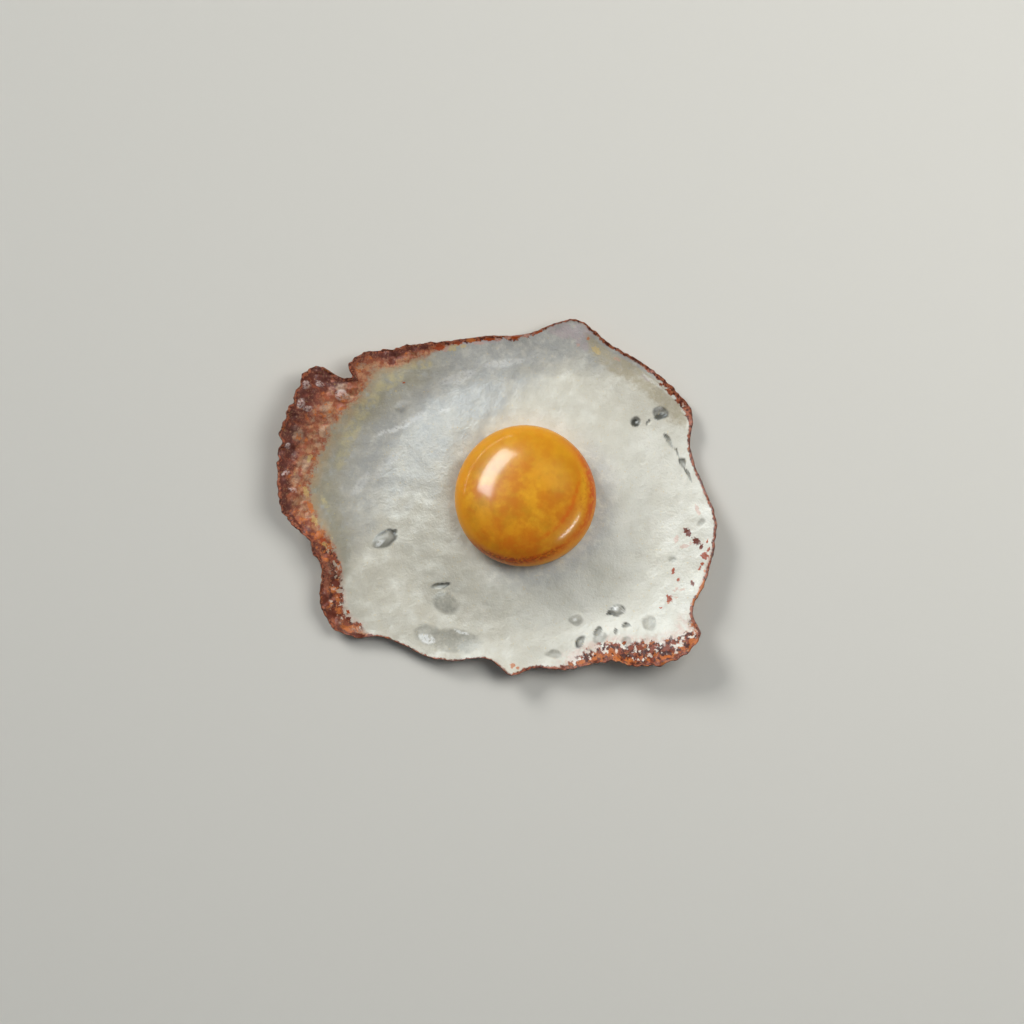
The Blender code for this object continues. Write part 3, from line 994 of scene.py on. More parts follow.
@dataclass(frozen=True)
class SetWhiteFinish:
    """The set white: opaque inside, olive and grey where thin, browned at the rim, with painted shade
    and painted highlights.
    """

    body: Colour = srgb(224, 224, 214)
    cloud: Colour = srgb(212, 211, 199)
    # Painted shade: the darker tone of the white towards its left and its top.
    left_top_shade: Colour = srgb(198, 195, 181)
    thin: Colour = srgb(148, 147, 137)
    # Painted shade: grey inside the bubbles' hollows, with the thin white's grey, and darker at their
    # edges.
    hollow: Colour = srgb(146, 146, 138)
    hollow_edge_shade: Colour = srgb(70, 70, 64)
    # Painted highlight: the near-white of the pale strokes and glints.
    skin: Colour = srgb(236, 238, 236)
    # grey, slate and olive: painted shade on the curled rim's inner slope as well as the thin white's
    # own tints.
    grey: Colour = srgb(166, 167, 164)
    slate: Colour = srgb(148, 146, 130)
    olive: Colour = srgb(163, 156, 134)
    straw: Colour = srgb(188, 177, 138)
    # Painted shade, in tan, on the inner slope of the top right rim.
    tan: Colour = srgb(177, 169, 147)
    fringe: Colour = srgb(178, 150, 112)
    pink: Colour = srgb(206, 160, 144)
    rust: Colour = srgb(163, 91, 62)
    umber: Colour = srgb(130, 70, 53)
    char: Colour = srgb(96, 46, 36)
    seared: Colour = srgb(60, 20, 11)
    russet: Colour = srgb(158, 66, 22)
    baked: Colour = srgb(132, 54, 22)
    roast: Colour = srgb(108, 42, 16)
    singed: Colour = srgb(84, 36, 26)
    orange: Colour = srgb(198, 112, 48)
    flesh: Colour = srgb(188, 136, 98)
    dry: Colour = srgb(188, 164, 138)
    # Painted highlight: the pale tone of the crust's bubble tops.
    pale: Colour = srgb(232, 216, 210)
    yellow: Colour = srgb(216, 190, 116)
    mauve: Colour = srgb(182, 166, 170)
    # Painted shadow: the bluish grey of the yolk's shadow beside it, also used for a patch above the
    # yolk.
    lee_shadow_and_patch: Colour = srgb(170, 176, 182)

    def make(self) -> bpy.types.Material:
        """Makes the material."""
        bench = Bench("set_white")
        crust = self._crust_share(bench)
        toasted_share = bench.times(bench.dapple(7.0, 5.0, 8.0, 0.38, 0.66), 0.75)
        toasted = bench.blend(toasted_share, self.fringe, self.rust)
        colour = bench.layers(
            self._marks(bench, self._white(bench)),
            (bench.patchy("toast", 2.0, 5.0, 6.5, 0.34, 0.6), self.fringe),
            (crust, self._crust(bench)),
            self._rim_line(bench),
            self._flecks(bench),
            (bench.times(bench.read("under"), 0.85), toasted),
        )
        bench.set("Base Color", colour)
        bench.set("Roughness", bench.plus(bench.times(crust, 0.2), 0.34))
        bench.set("IOR", 1.38)
        bench.set("Specular IOR Level", 0.25)
        bench.set("Subsurface Weight", 0.15)
        bench.set("Subsurface Radius", (1.0, 0.9, 0.75))
        bench.set("Subsurface Scale", 1.0 * MM)
        soft = bench.relief(bench.mottle(2.2, 4.0, 1.0), 0.3)
        bench.set("Normal", bench.relief(bench.mottle(0.5, 3.0, 2.0), 0.12, soft))
        return bench.material

    def _crust_share(self, bench: Bench) -> Socket:
        """Tells where the crust is. Its inner border sways, and its lace is broken into clusters.

        Args:
            bench: The material's bench.

        Returns:
            The crust's share.
        """
        sway = bench.plus(bench.stray(3.4, 4.0, 3.0, 3.2), bench.stray(1.0, 4.0, 3.5, 4.0))
        sway = bench.times(sway, bench.read("sway"))
        border = bench.plus(bench.less(bench.read("from_rim"), bench.read("crust")), sway)
        lace = bench.read("lace")
        reach = bench.times(lace, bench.plus(bench.stray(2.2, 4.0, 3.7, 9.0), 1.6))
        solid = bench.slope(bench.less(border, reach), 0.7, -1.0)
        holes = bench.plus(bench.mottle(1.4, 3.0, 4.0), bench.times(bench.read("depth"), 0.11))
        open_share = bench.times(lace, bench.slope(holes, 0.63, 0.68))
        return bench.times(solid, bench.less(1.0, open_share))

    def _white(self, bench: Bench) -> Socket:
        """Colours the white itself, with its clouds, its thin grey places and its tan band, and its
        painted shade.
        """
        thin_and_shade_zone = bench.plus(bench.read("thin_and_shade_zone"), bench.stray(4.5, 6.0, 6.0, 1.3))
        veil = bench.between(0.55, 1.0, bench.dapple(1.8, 6.0, 6.1, 0.3, 0.6))
        tan_edge = bench.plus(bench.stray(3.2, 4.0, 6.6, 4.0), bench.stray(0.8, 3.0, 6.7, 2.0))
        tan_shade_zone = bench.slope(bench.plus(bench.read("tan_shade_zone"), tan_edge), -0.6, 1.2)
        tan_shade_zone = bench.times(tan_shade_zone, bench.slope(bench.read("from_rim"), 1.3, 2.1))
        worn = bench.between(0.45, 0.9, bench.dapple(1.6, 5.0, 7.6, 0.3, 0.6))
        return bench.layers(
            bench.blend(bench.dapple(8.0, 6.0, 5.0, 0.36, 0.66), self.body, self.cloud),
            # Painted shade, darker towards the left and the top.
            (bench.patchy("left_top_shade", 4.0, 6.0, 5.5, 0.2, 0.6), self.left_top_shade),
            # Painted shadow of the yolk on the white, and a bluish grey patch above the yolk.
            (bench.patchy("lee_shadow_and_patch", 2.0, 5.0, 5.7, 0.25, 0.6), self.lee_shadow_and_patch),
            # Painted shade on the curled rim's inner slope, in grey, olive and slate, with the thin
            # white's own tints.
            (bench.times(bench.slope(thin_and_shade_zone, 0.0, 0.95), veil), self.grey),
            (bench.patchy("olive_zone", 3.0, 6.0, 6.2, 0.25, 0.62), self.olive),
            (bench.patchy("slate_zone", 2.2, 6.0, 6.3, 0.3, 0.62), self.slate),
            # Painted shade, in tan, inside the top right rim.
            (bench.times(tan_shade_zone, worn), self.tan),
            (bench.times(bench.patchy("lace", 1.4, 4.0, 6.8, 0.35, 0.6), 0.45), self.pink),
        )

    def _marks(self, bench: Bench, ground: Socket) -> Socket:
        """Lays the strokes, the thin patches and the bubbles over a colour.

        Args:
            bench: The material's bench.
            ground: The colour they lie on.

        Returns:
            The colour with the marks.
        """
        smoky = bench.between(0.5, 1.0, bench.dapple(1.5, 5.0, 6.9, 0.35, 0.6))
        return bench.layers(
            ground,
            (bench.patchy("blush", 2.0, 5.0, 7.9, 0.3, 0.6), self.mauve),
            (bench.patchy("straw", 1.5, 6.0, 6.4, 0.34, 0.62), self.straw),
            (bench.times(bench.read("thin"), smoky), self.thin),
            # Painted shade in the pits and domes and at their edges.
            (bench.read("pit"), self.hollow),
            (bench.read("pit_edge_shade"), self.hollow_edge_shade),
            # Painted highlights.
            (bench.patchy("painted_highlight", 0.8, 4.0, 7.3, 0.34, 0.5), self.skin),
        )

    def _crust(self, bench: Bench) -> Socket:
        """Colours the crust: umber outside, rust and flesh-pink inside, with painted highlights on
        its bubbles.
        """
        depth, scorch, lace = (bench.read(name) for name in ("depth", "scorch", "lace"))
        grain = bench.slope(bench.plus(bench.mottle(2.0, 6.0, 7.0), scorch), 0.46, 0.54)
        inner = bench.plus(depth, bench.times(bench.mottle(3.0, 5.0, 10.0), 1.2))
        inner = bench.slope(inner, 0.95, 1.25)
        light = bench.blend(bench.dapple(1.8, 6.0, 10.5, 0.42, 0.55), self.flesh, self.rust)
        dried = bench.times(bench.times(inner, bench.dapple(2.6, 5.0, 9.2, 0.52, 0.6)), 0.45)
        outer = bench.plus(bench.less(depth, scorch), bench.times(bench.mottle(2.4, 5.0, 12.0), 1.4))
        outer = bench.plus(outer, bench.times(bench.read("ember"), 2.0))
        crust_char_and_yolk_shade = bench.times(bench.slope(outer, 1.12, 0.9), bench.dapple(1.3, 5.0, 19.0, 0.3, 0.5))
        hot = bench.plus(bench.mottle(1.6, 5.0, 9.0), bench.less(bench.read("ember"), scorch))
        hot = bench.slope(bench.less(hot, bench.times(crust_char_and_yolk_shade, 0.12)), 0.56, 0.64)
        creases = bench.slope(bench.creases(1.9), 0.08, 0.0)
        crumbs = bench.less(0.4, bench.times(lace, 0.35))
        crumbs = bench.times(bench.dapple(0.6, 3.0, 20.0, 0.56, 0.64), crumbs)
        return bench.layers(
            bench.blend(grain, self.rust, self.umber),
            (bench.times(inner, bench.less(0.85, bench.times(lace, 0.6))), light),
            (bench.sum("MAXIMUM", dried, bench.read("dry_top")), self.dry),
            (bench.times(lace, 0.75), self.baked),
            (bench.times(bench.patchy("lace", 1.4, 3.0, 9.5, 0.46, 0.52), 0.9), self.seared),
            (bench.times(crust_char_and_yolk_shade, 0.9), self.char),
            (bench.times(hot, 0.85), self.orange),
            (bench.times(creases, 0.3), self.char),
            (crumbs, self.flesh),
            # Painted highlights on the crust's bubbles.
            (bench.patchy("crust_bubble_highlight", 0.6, 4.0, 14.0, 0.4, 0.54), self.pale),
        )

    def _rim_line(self, bench: Bench) -> tuple[Socket, Socket]:
        """Draws the thin browned line of the very edge.

        Args:
            bench: The material's bench.

        Returns:
            The line's share and its colour.
        """
        worn = bench.times(bench.read("worn"), bench.times(bench.mottle(3.0, 4.0, 15.0), 0.8))
        edge = bench.plus(bench.read("from_rim"), bench.times(bench.mottle(0.9, 3.0, 16.0), 1.7))
        beads = bench.patchy("bold", 1.5, 2.0, 18.5, 0.34, 0.6)
        line = bench.slope(bench.less(bench.plus(edge, worn), bench.times(beads, 1.3)), 1.85, 1.45)
        hot = bench.plus(bench.mottle(2.6, 4.0, 17.0), bench.read("ember"))
        hot = bench.slope(bench.less(hot, bench.times(bench.read("bold"), 0.04)), 0.62, 0.7)
        maroon = bench.blend(bench.dapple(0.7, 3.0, 18.0, 0.42, 0.56), self.singed, self.rust)
        return line, bench.blend(bench.times(hot, 0.8), maroon, self.orange)

    def _flecks(self, bench: Bench) -> tuple[Socket, Socket]:
        """Colours the browned flecks.

        Args:
            bench: The material's bench.

        Returns:
            The flecks' share and their colour.
        """
        share = bench.plus(bench.read("fleck"), bench.stray(0.6, 3.0, 13.0, 2.6))
        tone = bench.read("tone")
        tones = (
            (Tone.YELLOW.value, self.yellow),
            (Tone.PINK.value, self.pink),
            (Tone.ORANGE.value, self.orange),
            (Tone.RUST.value, self.russet),
            (Tone.UMBER.value, self.roast),
        )
        firm = bench.between(0.5, 1.0, bench.slope(tone, 0.3, 0.6))
        return bench.times(bench.slope(share, 0.3, 0.6), firm), bench.ramp(tone, tones)


@dataclass(frozen=True)
class YolkFinish:
    """The yolk: a glossy membrane over soft orange yellow, with painted shade in deeper orange at its
    low right and a painted glow.
    """

    body: Colour = srgb(222, 156, 30)
    # ochre: a tone of the yolk, also used for the painted shade over its top.
    ochre: Colour = srgb(200, 140, 28)
    # gold: a tone of the yolk, also used for its painted glow.
    gold: Colour = srgb(236, 176, 42)
    amber: Colour = srgb(204, 116, 20)
    # Painted glow: the lighter orange ring at the yolk's edge.
    rim: Colour = srgb(240, 162, 30)
    # Painted shade: deeper and darkest orange on the yolk's low right, the side away from the light.
    crust_char_and_yolk_shade: Colour = srgb(214, 90, 8)
    deep: Colour = srgb(140, 46, 4)

    def make(self) -> bpy.types.Material:
        """Makes the material."""
        bench = Bench("yolk_amber")
        veins = bench.between(0.4, 1.0, bench.dapple(1.2, 5.0, 6.0, 0.34, 0.56))
        colour = bench.layers(
            bench.blend(bench.dapple(5.5, 8.0, 1.0, 0.4, 0.64), self.body, self.ochre),
            (bench.times(bench.dapple(3.6, 8.0, 5.0, 0.46, 0.68), 0.5), self.gold),
            (bench.times(bench.dapple(4.4, 8.0, 2.0, 0.42, 0.64), 0.75), self.amber),
            # Painted shade over the yolk's top, which faces the light.
            (bench.read("top_shade"), self.ochre),
            # Painted glow: a lighter orange ring at the edge, weaker on the top, and a yellow band
            # inside the low right.
            (bench.read("rim_glow"), self.rim),
            (bench.patchy("painted_glow", 1.2, 5.0, 7.0, 0.3, 0.55), self.gold),
            # Painted shade in deeper orange towards the low right, with a darker line inside it,
            # darkest low down.
            (bench.times(bench.read("crust_char_and_yolk_shade"), veins), self.crust_char_and_yolk_shade),
            (bench.times(bench.patchy("deep", 0.9, 5.0, 6.5, 0.4, 0.6), 0.6), self.deep),
        )
        bench.set("Base Color", colour)
        bench.set("Roughness", 0.42)
        bench.set("IOR", 1.33)
        bench.set("Specular IOR Level", 0.15)
        bench.set("Coat Weight", 0.48)
        bench.set("Coat Roughness", 0.16)
        bench.set("Coat IOR", 1.36)
        bench.set("Subsurface Weight", 0.2)
        bench.set("Subsurface Radius", (1.0, 0.42, 0.08))
        bench.set("Subsurface Scale", 1.2 * MM)
        wrinkle = bench.relief(bench.mottle(1.4, 4.0, 3.0), 0.05)
        bench.set("Normal", bench.relief(bench.mottle(0.3, 2.0, 4.0), 0.012, wrinkle))
        return bench.material


@dataclass(frozen=True)
class FloorFinish:
    """The plain pale surface under the egg."""

    tone: Colour = srgb(212, 211, 205)

    def make(self) -> bpy.types.Material:
        """Makes the material."""
        bench = Bench("pale_floor")
        bench.set("Base Color", self.tone)
        bench.set("Roughness", 0.9)
        bench.set("Specular IOR Level", 0.1)
        return bench.material


@dataclass(frozen=True)
class Band:
    """A curved band of colour on the yolk. The bands below paint shade, a darker line and a glow.

    Attributes:
        bearings: Where it runs round the yolk, in degrees.
        shares: How far out it is at each bearing, as shares of the yolk's radius.
        width: Half its width, as a share of the radius.
        strengths: How strong it is at each bearing.
    """

    bearings: tuple[float, ...]
    shares: tuple[float, ...]
    width: float
    strengths: tuple[float, ...]

    def share(self, spread: Array, bearing: Array) -> Array:
        """Tells how strong the band is at places.

        Args:
            spread: Their distances from the yolk's axis, as shares of the radius.
            bearing: Their bearings round it, in degrees.

        Returns:
            The band's strength.
        """
        middle = np.interp(bearing, self.bearings, self.shares)
        strength = np.interp(bearing, self.bearings, self.strengths, left=0.0, right=0.0)
        return strength * smoothstep(1.0 - np.abs(spread - middle) / self.width)


# Painted shade: a deeper orange crescent along the low right edge, the side away from the light.
YOLK_CRESCENT = Band(
    (-150.0, -134.0, -94.0, -63.0, -43.0, -24.0, -1.0, 20.0, 38.0, 60.0),
    (1.0, 0.99, 0.91, 0.875, 0.88, 0.92, 0.94, 0.96, 0.97, 0.97),
    0.12,
    (0.0, 0.85, 1.0, 0.9, 0.65, 0.8, 1.0, 0.95, 0.7, 0.0),
)
# Painted shade: a broad deeper orange band, darkest towards the yolk's bottom.
BOTTOM_SHADE_BAND = Band(
    (-170.0, -140.0, -95.0, -40.0, 0.0, 30.0),
    (0.8, 0.78, 0.72, 0.78, 0.85, 0.9),
    0.42,
    (0.0, 0.18, 0.36, 0.26, 0.2, 0.0),
)
YOLK_LINE = Band(
    (-112.0, -78.0, -56.0, -26.0, -1.0, 19.0, 36.0),
    (0.7, 0.66, 0.61, 0.63, 0.69, 0.8, 0.86),
    0.065,
    (0.0, 0.4, 0.7, 0.7, 0.65, 0.5, 0.0),
)
# Painted glow: a yellow band inside the crescent.
YOLK_GLOW_BAND = Band(
    (-78.0, -56.0, -26.0, -1.0, 19.0, 30.0),
    (0.78, 0.75, 0.78, 0.82, 0.88, 0.9),
    0.12,
    (0.0, 0.5, 0.9, 0.9, 0.6, 0.0),
)


@dataclass
class Yolk:
    """The yolk: a flattened ball, fuller below its widest level than above it.

    Attributes:
        radius: Its widest radius, in millimetres.
        widest_level: How high its widest level is above the surface.
        upper_height: How far it rises above that level.
        lower_height: How far it reaches below that level.
        upper_fullness: How squarely its upper half bulges.
        lower_fullness: How squarely its lower half bulges.
        wobble: How uneven its outline is.
        wobble_lobes: How many lobes that unevenness has.
        wobble_turn: How far the lobes are turned, in radians.
        dimple: How deep the membrane's soft dimples are.
        dimple_length: How long they are.
        finish: What it is made of.
    """

    radius: float = 19.8
    widest_level: float = 9.8
    upper_height: float = 10.0
    lower_height: float = 8.3
    upper_fullness: float = 2.15
    lower_fullness: float = 2.3
    wobble: float = 0.012
    wobble_lobes: float = 3.0
    wobble_turn: float = 0.4
    dimple: float = 0.12
    dimple_length: float = 7.0
    finish: YolkFinish = field(default_factory=YolkFinish)

    def build(self) -> bpy.types.Object:
        """Builds the yolk and dresses it."""
        ball = bmesh.new()
        bmesh.ops.create_icosphere(ball, subdivisions=6, radius=1.0)
        mesh = bpy.data.meshes.new("yolk_ball")
        ball.to_mesh(mesh)
        ball.free()
        spots = np.empty(len(mesh.vertices) * 3)
        mesh.vertices.foreach_get("co", spots)
        spots = spots.reshape(-1, 3)
        spread = np.minimum(1.0, np.hypot(spots[:, 0], spots[:, 1]))
        bearing = np.arctan2(spots[:, 1], spots[:, 0])
        placed = self._pressed(spots, spread, bearing)
        mesh.vertices.foreach_set("co", (placed * MM).ravel())
        mesh.shade_smooth()
        self._shade(mesh, spread, bearing, spots[:, 2])
        mesh.materials.append(self.finish.make())
        piece = bpy.data.objects.new("yolk_ball", mesh)
        bpy.context.scene.collection.objects.link(piece)
        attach(piece, "root")
        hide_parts("yolk")
        return piece

    def _pressed(self, spots: Array, spread: Array, bearing: Array) -> Array:
        """Presses a unit ball's points to the yolk's form.

        Args:
            spots: The ball's points.
            spread: Their distances from its upright axis.
            bearing: Their bearings round it.

        Returns:
            The yolk's points, in millimetres.
        """
        upper = spots[:, 2] > 0.0
        fullness = np.where(upper, self.upper_fullness, self.lower_fullness)
        height = np.where(upper, self.upper_height, self.lower_height)
        level = (1.0 - spread**fullness) ** (1.0 / fullness)
        lobes = 0.5 + 0.5 * np.sin(self.wobble_lobes * bearing - self.wobble_turn)
        wobble = 1.0 - self.wobble * lobes * spread
        radius = self.radius * spread * wobble
        x = YOLK_CENTRE[0] + radius * np.cos(bearing)
        y = YOLK_CENTRE[1] + radius * np.sin(bearing)
        soft = ripple(x, y, self.dimple_length, Wave.YOLK_DIMPLE)
        soft *= self.dimple * np.clip(spots[:, 2], 0.0, 1.0)
        z = self.widest_level + np.where(upper, 1.0, -1.0) * height * level + soft
        return np.stack([x, y, np.minimum(z, self.widest_level + self.upper_height)], axis=1)

    def _shade(self, mesh: bpy.types.Mesh, spread: Array, bearing: Array, up: Array) -> None:
        """Marks the yolk's painted shade, deeper towards its low right and over its top, and its
        painted glow.

        Args:
            mesh: The yolk's mesh.
            spread: Its points' distances from the upright axis, as shares of the radius.
            bearing: Their bearings round it.
            up: Their heights on the unit ball.
        """
        degrees = np.degrees(bearing)
        # Painted shade in deeper orange: the crescent, the broad band and a darker line.
        bands = (YOLK_CRESCENT, BOTTOM_SHADE_BAND, YOLK_LINE)
        crust_char_and_yolk_shade = np.maximum.reduce([band.share(spread, degrees) for band in bands])
        set_attribute(mesh, "crust_char_and_yolk_shade", crust_char_and_yolk_shade * (up > 0.0))
        # Painted glow in a yellow band.
        set_attribute(mesh, "painted_glow", YOLK_GLOW_BAND.share(spread, degrees) * (up > 0.0))
        # Painted shade, darkest low in the crescent.
        core = rise(YOLK_CRESCENT.share(spread, degrees), 0.5, 0.9)
        low = 0.15 + 0.85 * YOLK_DEEPEST_SHADE.share(degrees)
        set_attribute(mesh, "deep", core * low * (up > 0.0))
        # Painted shade that dulls the yolk's top, the side that faces the light.
        sunny = rise(np.cos(bearing - math.radians(80.0)), 0.0, 0.6)
        set_attribute(mesh, "top_shade", 0.55 * sunny * rise(spread, 0.3, 0.7) * (up > 0.0))
        # Painted glow: a lighter orange ring at the edge, weaker on the top that faces the light.
        set_attribute(mesh, "rim_glow", (0.8 - 0.5 * sunny) * rise(spread, 0.8, 0.96))


def set_attribute(mesh: bpy.types.Mesh, name: str, values: Array) -> None:
    """Gives a mesh one number for each of its points.

    Args:
        mesh: The mesh.
        name: The attribute's name.
        values: One number for each point.
    """
    layer = mesh.attributes.new(name, "FLOAT", "POINT")
    layer.data.foreach_set("value", np.asarray(values, dtype=np.float32))


class Face(Enum):
    """The faces of the white."""

    SEAT = "the hollow that the yolk lies in"
    TOP = "the face that is seen from above"
    UNDER = "the face that lay in the pan"


@dataclass
class Ring:
    """One ring of the white's section.

    Attributes:
        face: The face that it belongs to.
        places: Its places' x, y and z, in millimetres.
        from_rim: Their distances in from the rim.
        crust: The crust's width round them.
    """

    face: Face
    places: Array
    from_rim: Array
    crust: Array


@dataclass
class EggWhite:
    """The set white: a thin sheet with a curled, crisp rim, mounded up round the yolk.

    Attributes:
        rim: The rim that it spreads to.
        yolk: The yolk that it holds.
        columns: How many columns run from the yolk's lip to the rim.
        top_rings: How many rings its top has.
        under_rings: How many rings its underside has.
        seat_rings: How many rings the yolk's seat has.
        ring_crowding: How much closer together the top's rings are at the rim.
        lip_spread: Over which share of the columns their headings are evened out.
        lip_turn: How far the columns are turned where they leave the lip, in degrees.
        rim_thickness: How thick the rim is.
        sheet_thickness: How thick the white is away from the rim and the yolk.
        taper_width: Over how much of its width it thins out to the rim.
        mound_height: How much thicker it is at the yolk.
        mound_full_radius: How far from the yolk's middle the mound is full.
        mound_end_radius: How far from the yolk's middle the mound ends.
        swell_height: How high the top's soft swells are.
        swell_length: How long the swells are.
        skin_relief: How high the small waves of its skin are.
        skin_length: How long those waves are.
        curl_base_width: How wide the rim's curl is where it doesn't lift.
        curl_width_per_lift: How much wider the curl is for each millimetre of lift.
        seat_reach: From which to which share of a quarter turn the seat's rings run.
        clear_width: Over how much of its width the top's waves die out at the yolk.
        edge_rounding: How far in from its tip the rim is full thickness.
        tip_share: How far up the rim's thickness its tip is.
        seat_gap: How far the seat stays off the yolk.
        crust_relief: How high the crust's waves are.
        crust_wave_length: How long those waves are.
        browning_width: Over how much of its width the crust's relief comes in.
        large_bubble: How large the crust's larger bubbles are.
        large_relief: How high they stand.
        small_bubble: How large the crust's smaller bubbles are.
        small_relief: How high they stand.
        mark_fall: How steeply a mark falls away from its middle.
        mark_stray: How far the marks' outlines stray.
        mark_stray_length: How long the waves of that straying are.
        fleck_spread: How many times a fleck's size its soft edge reaches.
        finish: What it is made of.
    """

    rim: Rim
    yolk: Yolk
    columns: int = 900
    top_rings: int = 84
    under_rings: int = 14
    seat_rings: int = 8
    ring_crowding: float = 1.3
    lip_spread: float = 0.057
    lip_turn: float = 16.0
    rim_thickness: float = 1.0
    sheet_thickness: float = 2.4
    taper_width: float = 10.0
    mound_height: float = 4.4
    mound_full_radius: float = 22.0
    mound_end_radius: float = 41.0
    swell_height: float = 0.35
    swell_length: float = 11.0
    skin_relief: float = 0.16
    skin_length: float = 3.6
    curl_base_width: float = 12.0
    curl_width_per_lift: float = 1.6
    seat_reach: tuple[float, float] = (0.12, 0.97)
    clear_width: float = 4.0
    edge_rounding: float = 0.3
    tip_share: float = 0.55
    seat_gap: float = 0.08
    crust_relief: float = 0.5
    crust_wave_length: float = 2.8
    browning_width: float = 2.5
    large_bubble: float = 2.6
    large_relief: float = 0.55
    small_bubble: float = 1.1
    small_relief: float = 0.3
    mark_fall: float = 1.3
    mark_stray: float = 0.55
    mark_stray_length: float = 2.4
    fleck_spread: float = 1.5
    finish: SetWhiteFinish = field(default_factory=SetWhiteFinish)

    def build(self) -> bpy.types.Object:
        """Builds the white and dresses it."""
        rings = self._section()
        blank = self._blank(len(rings))
        mesh = bpy.data.meshes.new("set_white_sheet")
        blank.to_mesh(mesh)
        blank.free()
        spots = np.empty(len(mesh.vertices) * 3)
        mesh.vertices.foreach_get("co", spots)
        spots = spots.reshape(-1, 3)
        level = np.rint(spots[:, 2]).astype(int)
        turn = np.arctan2(spots[:, 1], spots[:, 0]) / math.tau * self.columns
        column = np.rint(turn).astype(int) % self.columns
        ring_of = np.clip(level - 1, 0, len(rings) - 1)
        placed = np.array([ring.places for ring in rings])[ring_of, column]
        for pole, ring in ((level == 0, rings[0]), (level == len(rings) + 1, rings[-1])):
            placed[pole] = ring.places.mean(axis=0)
        mesh.vertices.foreach_set("co", (placed * MM).ravel())
        mesh.shade_smooth()
        from_rim = np.array([ring.from_rim for ring in rings])[ring_of, column]
        crust = np.array([ring.crust for ring in rings])[ring_of, column]
        face = np.array([ring.face for ring in rings])[ring_of]
        self._shade(mesh, placed, face, from_rim, crust)
        mesh.materials.append(self.finish.make())
        piece = bpy.data.objects.new("set_white_sheet", mesh)
        bpy.context.scene.collection.objects.link(piece)
        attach(piece, "root")
        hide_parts("egg_white")
        return piece

    def _blank(self, ring_count: int) -> bmesh.types.BMesh:
        """Rolls a grid up into a closed drum with one level for each ring of the section.

        Args:
            ring_count: How many rings the section has.

        Returns:
            The drum, with its two poles on the axis below and above the rings.
        """
        blank = bmesh.new()
        bmesh.ops.create_grid(blank, x_segments=self.columns, y_segments=ring_count + 1, size=0.5)
        for vert in blank.verts:
            turn = (vert.co.x + 0.5) * math.tau
            level = round((vert.co.y + 0.5) * (ring_count + 1))
            radius = 1.0 if 0 < level <= ring_count else 0.0
            vert.co = (radius * math.cos(turn), radius * math.sin(turn), level)
        bmesh.ops.remove_doubles(blank, verts=blank.verts[:], dist=1e-4)
        bmesh.ops.recalc_face_normals(blank, faces=blank.faces[:])
        bmesh.ops.reverse_faces(blank, faces=blank.faces[:])
        return blank

    def _seat_radius(self) -> float:
        """Gives the radius of the seat at the yolk's widest level."""
        return self.yolk.radius + self.seat_gap

    def _seat_height(self, radius: float) -> float:
        """Gives the seat's height at a distance from the yolk's middle."""
        fullness = self.yolk.lower_fullness
        share = min(1.0, radius / self._seat_radius()) ** fullness
        depth = (self.yolk.lower_height + self.seat_gap) * (1.0 - share) ** (1.0 / fullness)
        return self.yolk.widest_level - depth

    def _lip_radius(self) -> float:
        """Gives the radius at which the mound's top meets the seat."""
        fullness = self.yolk.lower_fullness
        lip_height = self.sheet_thickness + self.mound_height
        drop = (self.yolk.widest_level - lip_height) / (self.yolk.lower_height + self.seat_gap)
        return self._seat_radius() * (1.0 - drop**fullness) ** (1.0 / fullness)

    def _grid(self, shares: Array) -> Array:
        """Lays out rings of places from the lip to the rim.

        The columns leave the lip evenly spread, and a little turned, so that they clear the wall
        of the notch.

        Args:
            shares: How far out each ring is, from 0 at the lip to 1 at the rim.

        Returns:
            The places' x and y, ring by ring.
        """
        ends = self.rim.column_ends(self.columns)
        away = ends - YOLK_CENTRE
        even = np.arange(self.columns) / self.columns * math.tau
        drift = np.unwrap(np.arctan2(away[:, 1], away[:, 0])) - even
        reach = round(self.lip_spread * self.columns)
        shifts = range(-reach, reach + 1)
        heading = even + sum(np.roll(drift, shift) for shift in shifts) / len(shifts)
        heading += math.radians(self.lip_turn)
        lip = YOLK_CENTRE + self._lip_radius() * np.stack([np.cos(heading), np.sin(heading)], axis=1)
        return lip + shares[:, None, None] * (ends - lip)

    def _section(self) -> list[Ring]:
        """Works out the rings, from the seat's floor over the top and the rim to the underside."""
        shares = 1.0 - (1.0 - np.arange(self.top_rings + 1) / self.top_rings) ** self.ring_crowding
        grid = self._grid(shares)
        middle = np.array(YOLK_CENTRE)
        from_rim, _, crust = self.rim.round_about(grid[0])
        rings = []
        for turn in np.linspace(*self.seat_reach, self.seat_rings) * math.pi / 2:
            share = math.sin(turn)
            places = middle + share * (grid[0] - middle)
            height = self._seat_height(share * self._lip_radius())
            rings.append(Ring(Face.SEAT, raised(places, height), from_rim, crust))
        for places in grid[:-1]:
            from_rim, lift, crust = self.rim.round_about(places)
            height = self._top_height(places, from_rim, lift, crust)
            rings.append(Ring(Face.TOP, raised(places, height), from_rim, crust))
        tip = grid[-1]
        inset = tip - outward(tip) * self.edge_rounding
        from_rim, lift, crust = self.rim.round_about(inset)
        height = self._top_height(inset, from_rim, lift, crust)
        rings.append(Ring(Face.TOP, raised(inset, height), from_rim, crust))
        at_rim = np.zeros(self.columns)
        floor = self._under_height(from_rim, lift)
        tip_height = floor + self.rim_thickness * self.tip_share
        rings.append(Ring(Face.TOP, raised(tip, tip_height), at_rim, crust))
        rings.append(Ring(Face.UNDER, raised(inset, floor), at_rim, crust))
        for places in grid[np.linspace(self.top_rings - 1, 1, self.under_rings).astype(int)]:
            from_rim, lift, crust = self.rim.round_about(places)
            height = self._under_height(from_rim, lift)
            rings.append(Ring(Face.UNDER, raised(places, height), from_rim, crust))
        return rings

